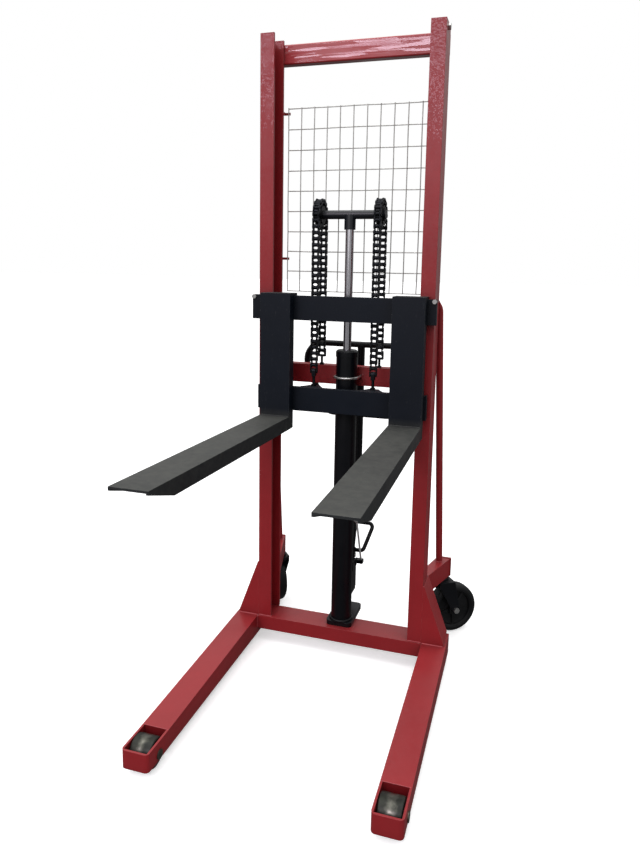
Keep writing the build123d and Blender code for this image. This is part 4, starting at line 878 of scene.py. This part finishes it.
COLLAR_OUT = 2.0
COLLAR_R = 4.6
COLLAR_SWING = 0.35
COLLAR_TURN = 2.3
COLLAR_CHANCE = 0.25
COLLAR_STEPS = 72
COLLAR_SIDES = 10
bm = bmesh.new()
ring_r = CYLINDER_R + COLLAR_OUT
ringed = [
    at(ring_r * math.cos(a), RAM_Y + ring_r * math.sin(a), CYLINDER_FOOT_TOP + COLLAR_OUT)
    for a in turns(COLLAR_STEPS, COLLAR_STEPS)
]
sizes = []
for k in range(COLLAR_STEPS):
    chance = dice.uniform(-COLLAR_CHANCE, COLLAR_CHANCE)
    sizes.append((COLLAR_R + COLLAR_SWING * math.cos(COLLAR_TURN * k) + chance) * MM)
tube(bm, ringed, sizes, COLLAR_SIDES, closed=True)
collar = piece("cylinder_foot_weld", bm, BLACK, "frame", WELD_SHARP)

# Fork heel welds between shank and blade, and along the carriage lugs

HEEL_BEAD_R = 2.6
HEEL_Y = SHANK_FRONT - 0.4
HEEL_Z = FORK_TOP + 0.2
HEEL_REACH = FORK_HALF - 1.5
LUG_BEAD_R = 2.4
LUG_Y = BAR_REAR + 0.4
for word, x in FORK_HEELS:
    bm = bmesh.new()
    ends = [at(x + way * HEEL_REACH, HEEL_Y, HEEL_Z) for way in (-1, 1)]
    bead(bm, ends, HEEL_BEAD_R, dice)
    heel = piece("fork_heel_weld_" + word, bm, FORK, "fork_" + word, WELD_SHARP)
bm = bmesh.new()
for s in (-1, 1):
    ends = [at(s * x, LUG_Y, LOWER_BAR_TOP) for x in (LUG_WELD_IN, LUG_WELD_OUT)]
    bead(bm, ends, LUG_BEAD_R, dice)
lug_weld = piece("chain_lug_welds", bm, DARK, "carriage", WELD_SHARP)

# Floor, which gives its own light so that only a faint contact shadow is left on it

FLOOR_REACH = 60.0
FLOOR_GLOW = 0.45
FLOOR_ROUGH = 0.9
WHITE = (1.0, 1.0, 1.0, 1.0)
floor_mesh = bpy.data.meshes.new("floor")
corner_ways = ((-1, -1), (1, -1), (1, 1), (-1, 1))
floor_corners = [(x * FLOOR_REACH, y * FLOOR_REACH, 0) for x, y in corner_ways]
floor_mesh.from_pydata(floor_corners, [], [(0, 1, 2, 3)])
floor = bpy.data.objects.new("floor", floor_mesh)
bpy.context.scene.collection.objects.link(floor)
g = Graph("floor_pale")
g.set("Base Color", g.mix(g.noise(0.8, 4.0), linear(250, 250, 250), linear(244, 244, 244)))
g.set("Roughness", FLOOR_ROUGH)
g.set("Emission Color", WHITE)
g.set("Emission Strength", FLOOR_GLOW)
floor_mesh.materials.append(g.material)
floor.visible_diffuse = False
floor.visible_glossy = False

# Light

scene = bpy.context.scene
world = bpy.data.worlds.new("studio")
scene.world = world
world.use_nodes = True
tree = world.node_tree
tree.nodes.clear()


def sky_node(kind):
    return tree.nodes.new(kind)


def sky_range(value, low, high, to_low, to_high):
    """Smooth change from to_low to to_high as the value goes from low to high."""
    node = sky_node("ShaderNodeMapRange")
    node.interpolation_type = "SMOOTHSTEP"
    tree.links.new(value, node.inputs["Value"])
    node.inputs["From Min"].default_value = low
    node.inputs["From Max"].default_value = high
    node.inputs["To Min"].default_value = to_low
    node.inputs["To Max"].default_value = to_high
    return node.outputs[0]


def sky_times(a, b):
    node = sky_node("ShaderNodeMath")
    node.operation = "MULTIPLY"
    tree.links.new(a, node.inputs[0])
    tree.links.new(b, node.inputs[1])
    return node.outputs[0]


# Bright ceiling, dim walls and a dark ground, with broad soft patches; the camera itself sees white
PATCH_SCALE = 1.7
PATCH_DETAIL = 1.0
out = sky_node("ShaderNodeOutputWorld")
lit = sky_node("ShaderNodeBackground")
seen = sky_node("ShaderNodeBackground")
pick = sky_node("ShaderNodeMixShader")
rays = sky_node("ShaderNodeLightPath")
where = sky_node("ShaderNodeTexCoord").outputs["Generated"]
split = sky_node("ShaderNodeSeparateXYZ")
patches = sky_node("ShaderNodeTexNoise")
tree.links.new(where, split.inputs[0])
tree.links.new(where, patches.inputs["Vector"])
patches.inputs["Scale"].default_value = PATCH_SCALE
patches.inputs["Detail"].default_value = PATCH_DETAIL
height = split.outputs["Z"]
ceiling = sky_range(height, -0.05, 1.0, 0.42, 1.45)
ground = sky_range(height, -0.45, 0.12, 0.34, 1.0)
behind = sky_range(split.outputs["Y"], -0.2, 0.7, 1.0, 0.62)
uneven = sky_range(patches.outputs["Fac"], 0.35, 0.65, 0.72, 1.28)
strength = sky_times(sky_times(ceiling, ground), sky_times(uneven, behind))
tree.links.new(strength, lit.inputs["Strength"])
lit.inputs["Color"].default_value = WHITE
seen.inputs["Color"].default_value = WHITE
seen.inputs["Strength"].default_value = 1.0
tree.links.new(rays.outputs["Is Camera Ray"], pick.inputs[0])
tree.links.new(lit.outputs[0], pick.inputs[1])
tree.links.new(seen.outputs[0], pick.inputs[2])
tree.links.new(pick.outputs[0], out.inputs[0])


def softbox(name, place, aim, size, power):
    """Rectangular light at a place that faces a point, in metres and watts."""
    data = bpy.data.lights.new(name, "AREA")
    data.shape = "RECTANGLE"
    data.size = size[0]
    data.size_y = size[1]
    data.energy = power
    obj = bpy.data.objects.new(name, data)
    obj.location = place
    obj.rotation_euler = (Vector(aim) - Vector(place)).to_track_quat("-Z", "Y").to_euler()
    scene.collection.objects.link(obj)
    return data


# The narrow tubes draw the glints on the mast's top
TUBE_TINT = (0.97, 0.84, 1.0)
TUBES = (("tube_low", 3.05), ("tube_mid", 3.28), ("tube_high", 3.51))
softbox("ceiling", place=(-0.4, 0.2, 4.4), aim=(0, 0.0, 0), size=(3.6, 3.6), power=55)
softbox("front_fill", place=(-0.6, -4.6, 2.4), aim=(0, 0.2, 1.4), size=(3.0, 2.0), power=16)
for tube_name, tube_z in TUBES:
    place = (-1.1, -4.1, tube_z)
    glow = softbox(tube_name, place, aim=(0, 0.2, 1.9), size=(2.6, 0.14), power=16)
    glow.color = TUBE_TINT

# The photo's view, solved from the part's straight edges; the picture is cut off-centre
CAMERA_AT = at(572.734, -2088.611, 1297.234)
YAW = math.radians(17.216)
PITCH_DOWN = math.radians(8.907)
ROLL = math.radians(0.967)
FOCAL_PX = 688.701
FRAME_PX = 640.0
AXIS_RISE_PX = 52.512
SENSOR = 36.0
CLIP_NEAR = 0.05
CLIP_FAR = 200.0
level = math.cos(PITCH_DOWN)
forward = Vector((-math.sin(YAW) * level, math.cos(YAW) * level, -math.sin(PITCH_DOWN)))
right = Vector((math.cos(YAW), math.sin(YAW), 0))
up = right.cross(forward)
turned_right = right * math.cos(ROLL) + up * math.sin(ROLL)
turned_up = up * math.cos(ROLL) - right * math.sin(ROLL)
camera_data = bpy.data.cameras.new("camera")
camera_data.sensor_fit = "HORIZONTAL"
camera_data.sensor_width = SENSOR
camera_data.lens = SENSOR * FOCAL_PX / FRAME_PX
camera_data.shift_y = -AXIS_RISE_PX / FRAME_PX
camera_data.clip_start = CLIP_NEAR
camera_data.clip_end = CLIP_FAR
camera = bpy.data.objects.new("camera", camera_data)
pose = Matrix.Identity(4)
for row in range(3):
    pose[row][0] = turned_right[row]
    pose[row][1] = turned_up[row]
    pose[row][2] = -forward[row]
    pose[row][3] = CAMERA_AT[row]
camera.matrix_world = pose
scene.collection.objects.link(camera)
scene.camera = camera
scene.view_settings.view_transform = "Standard"
scene.view_settings.look = "None"
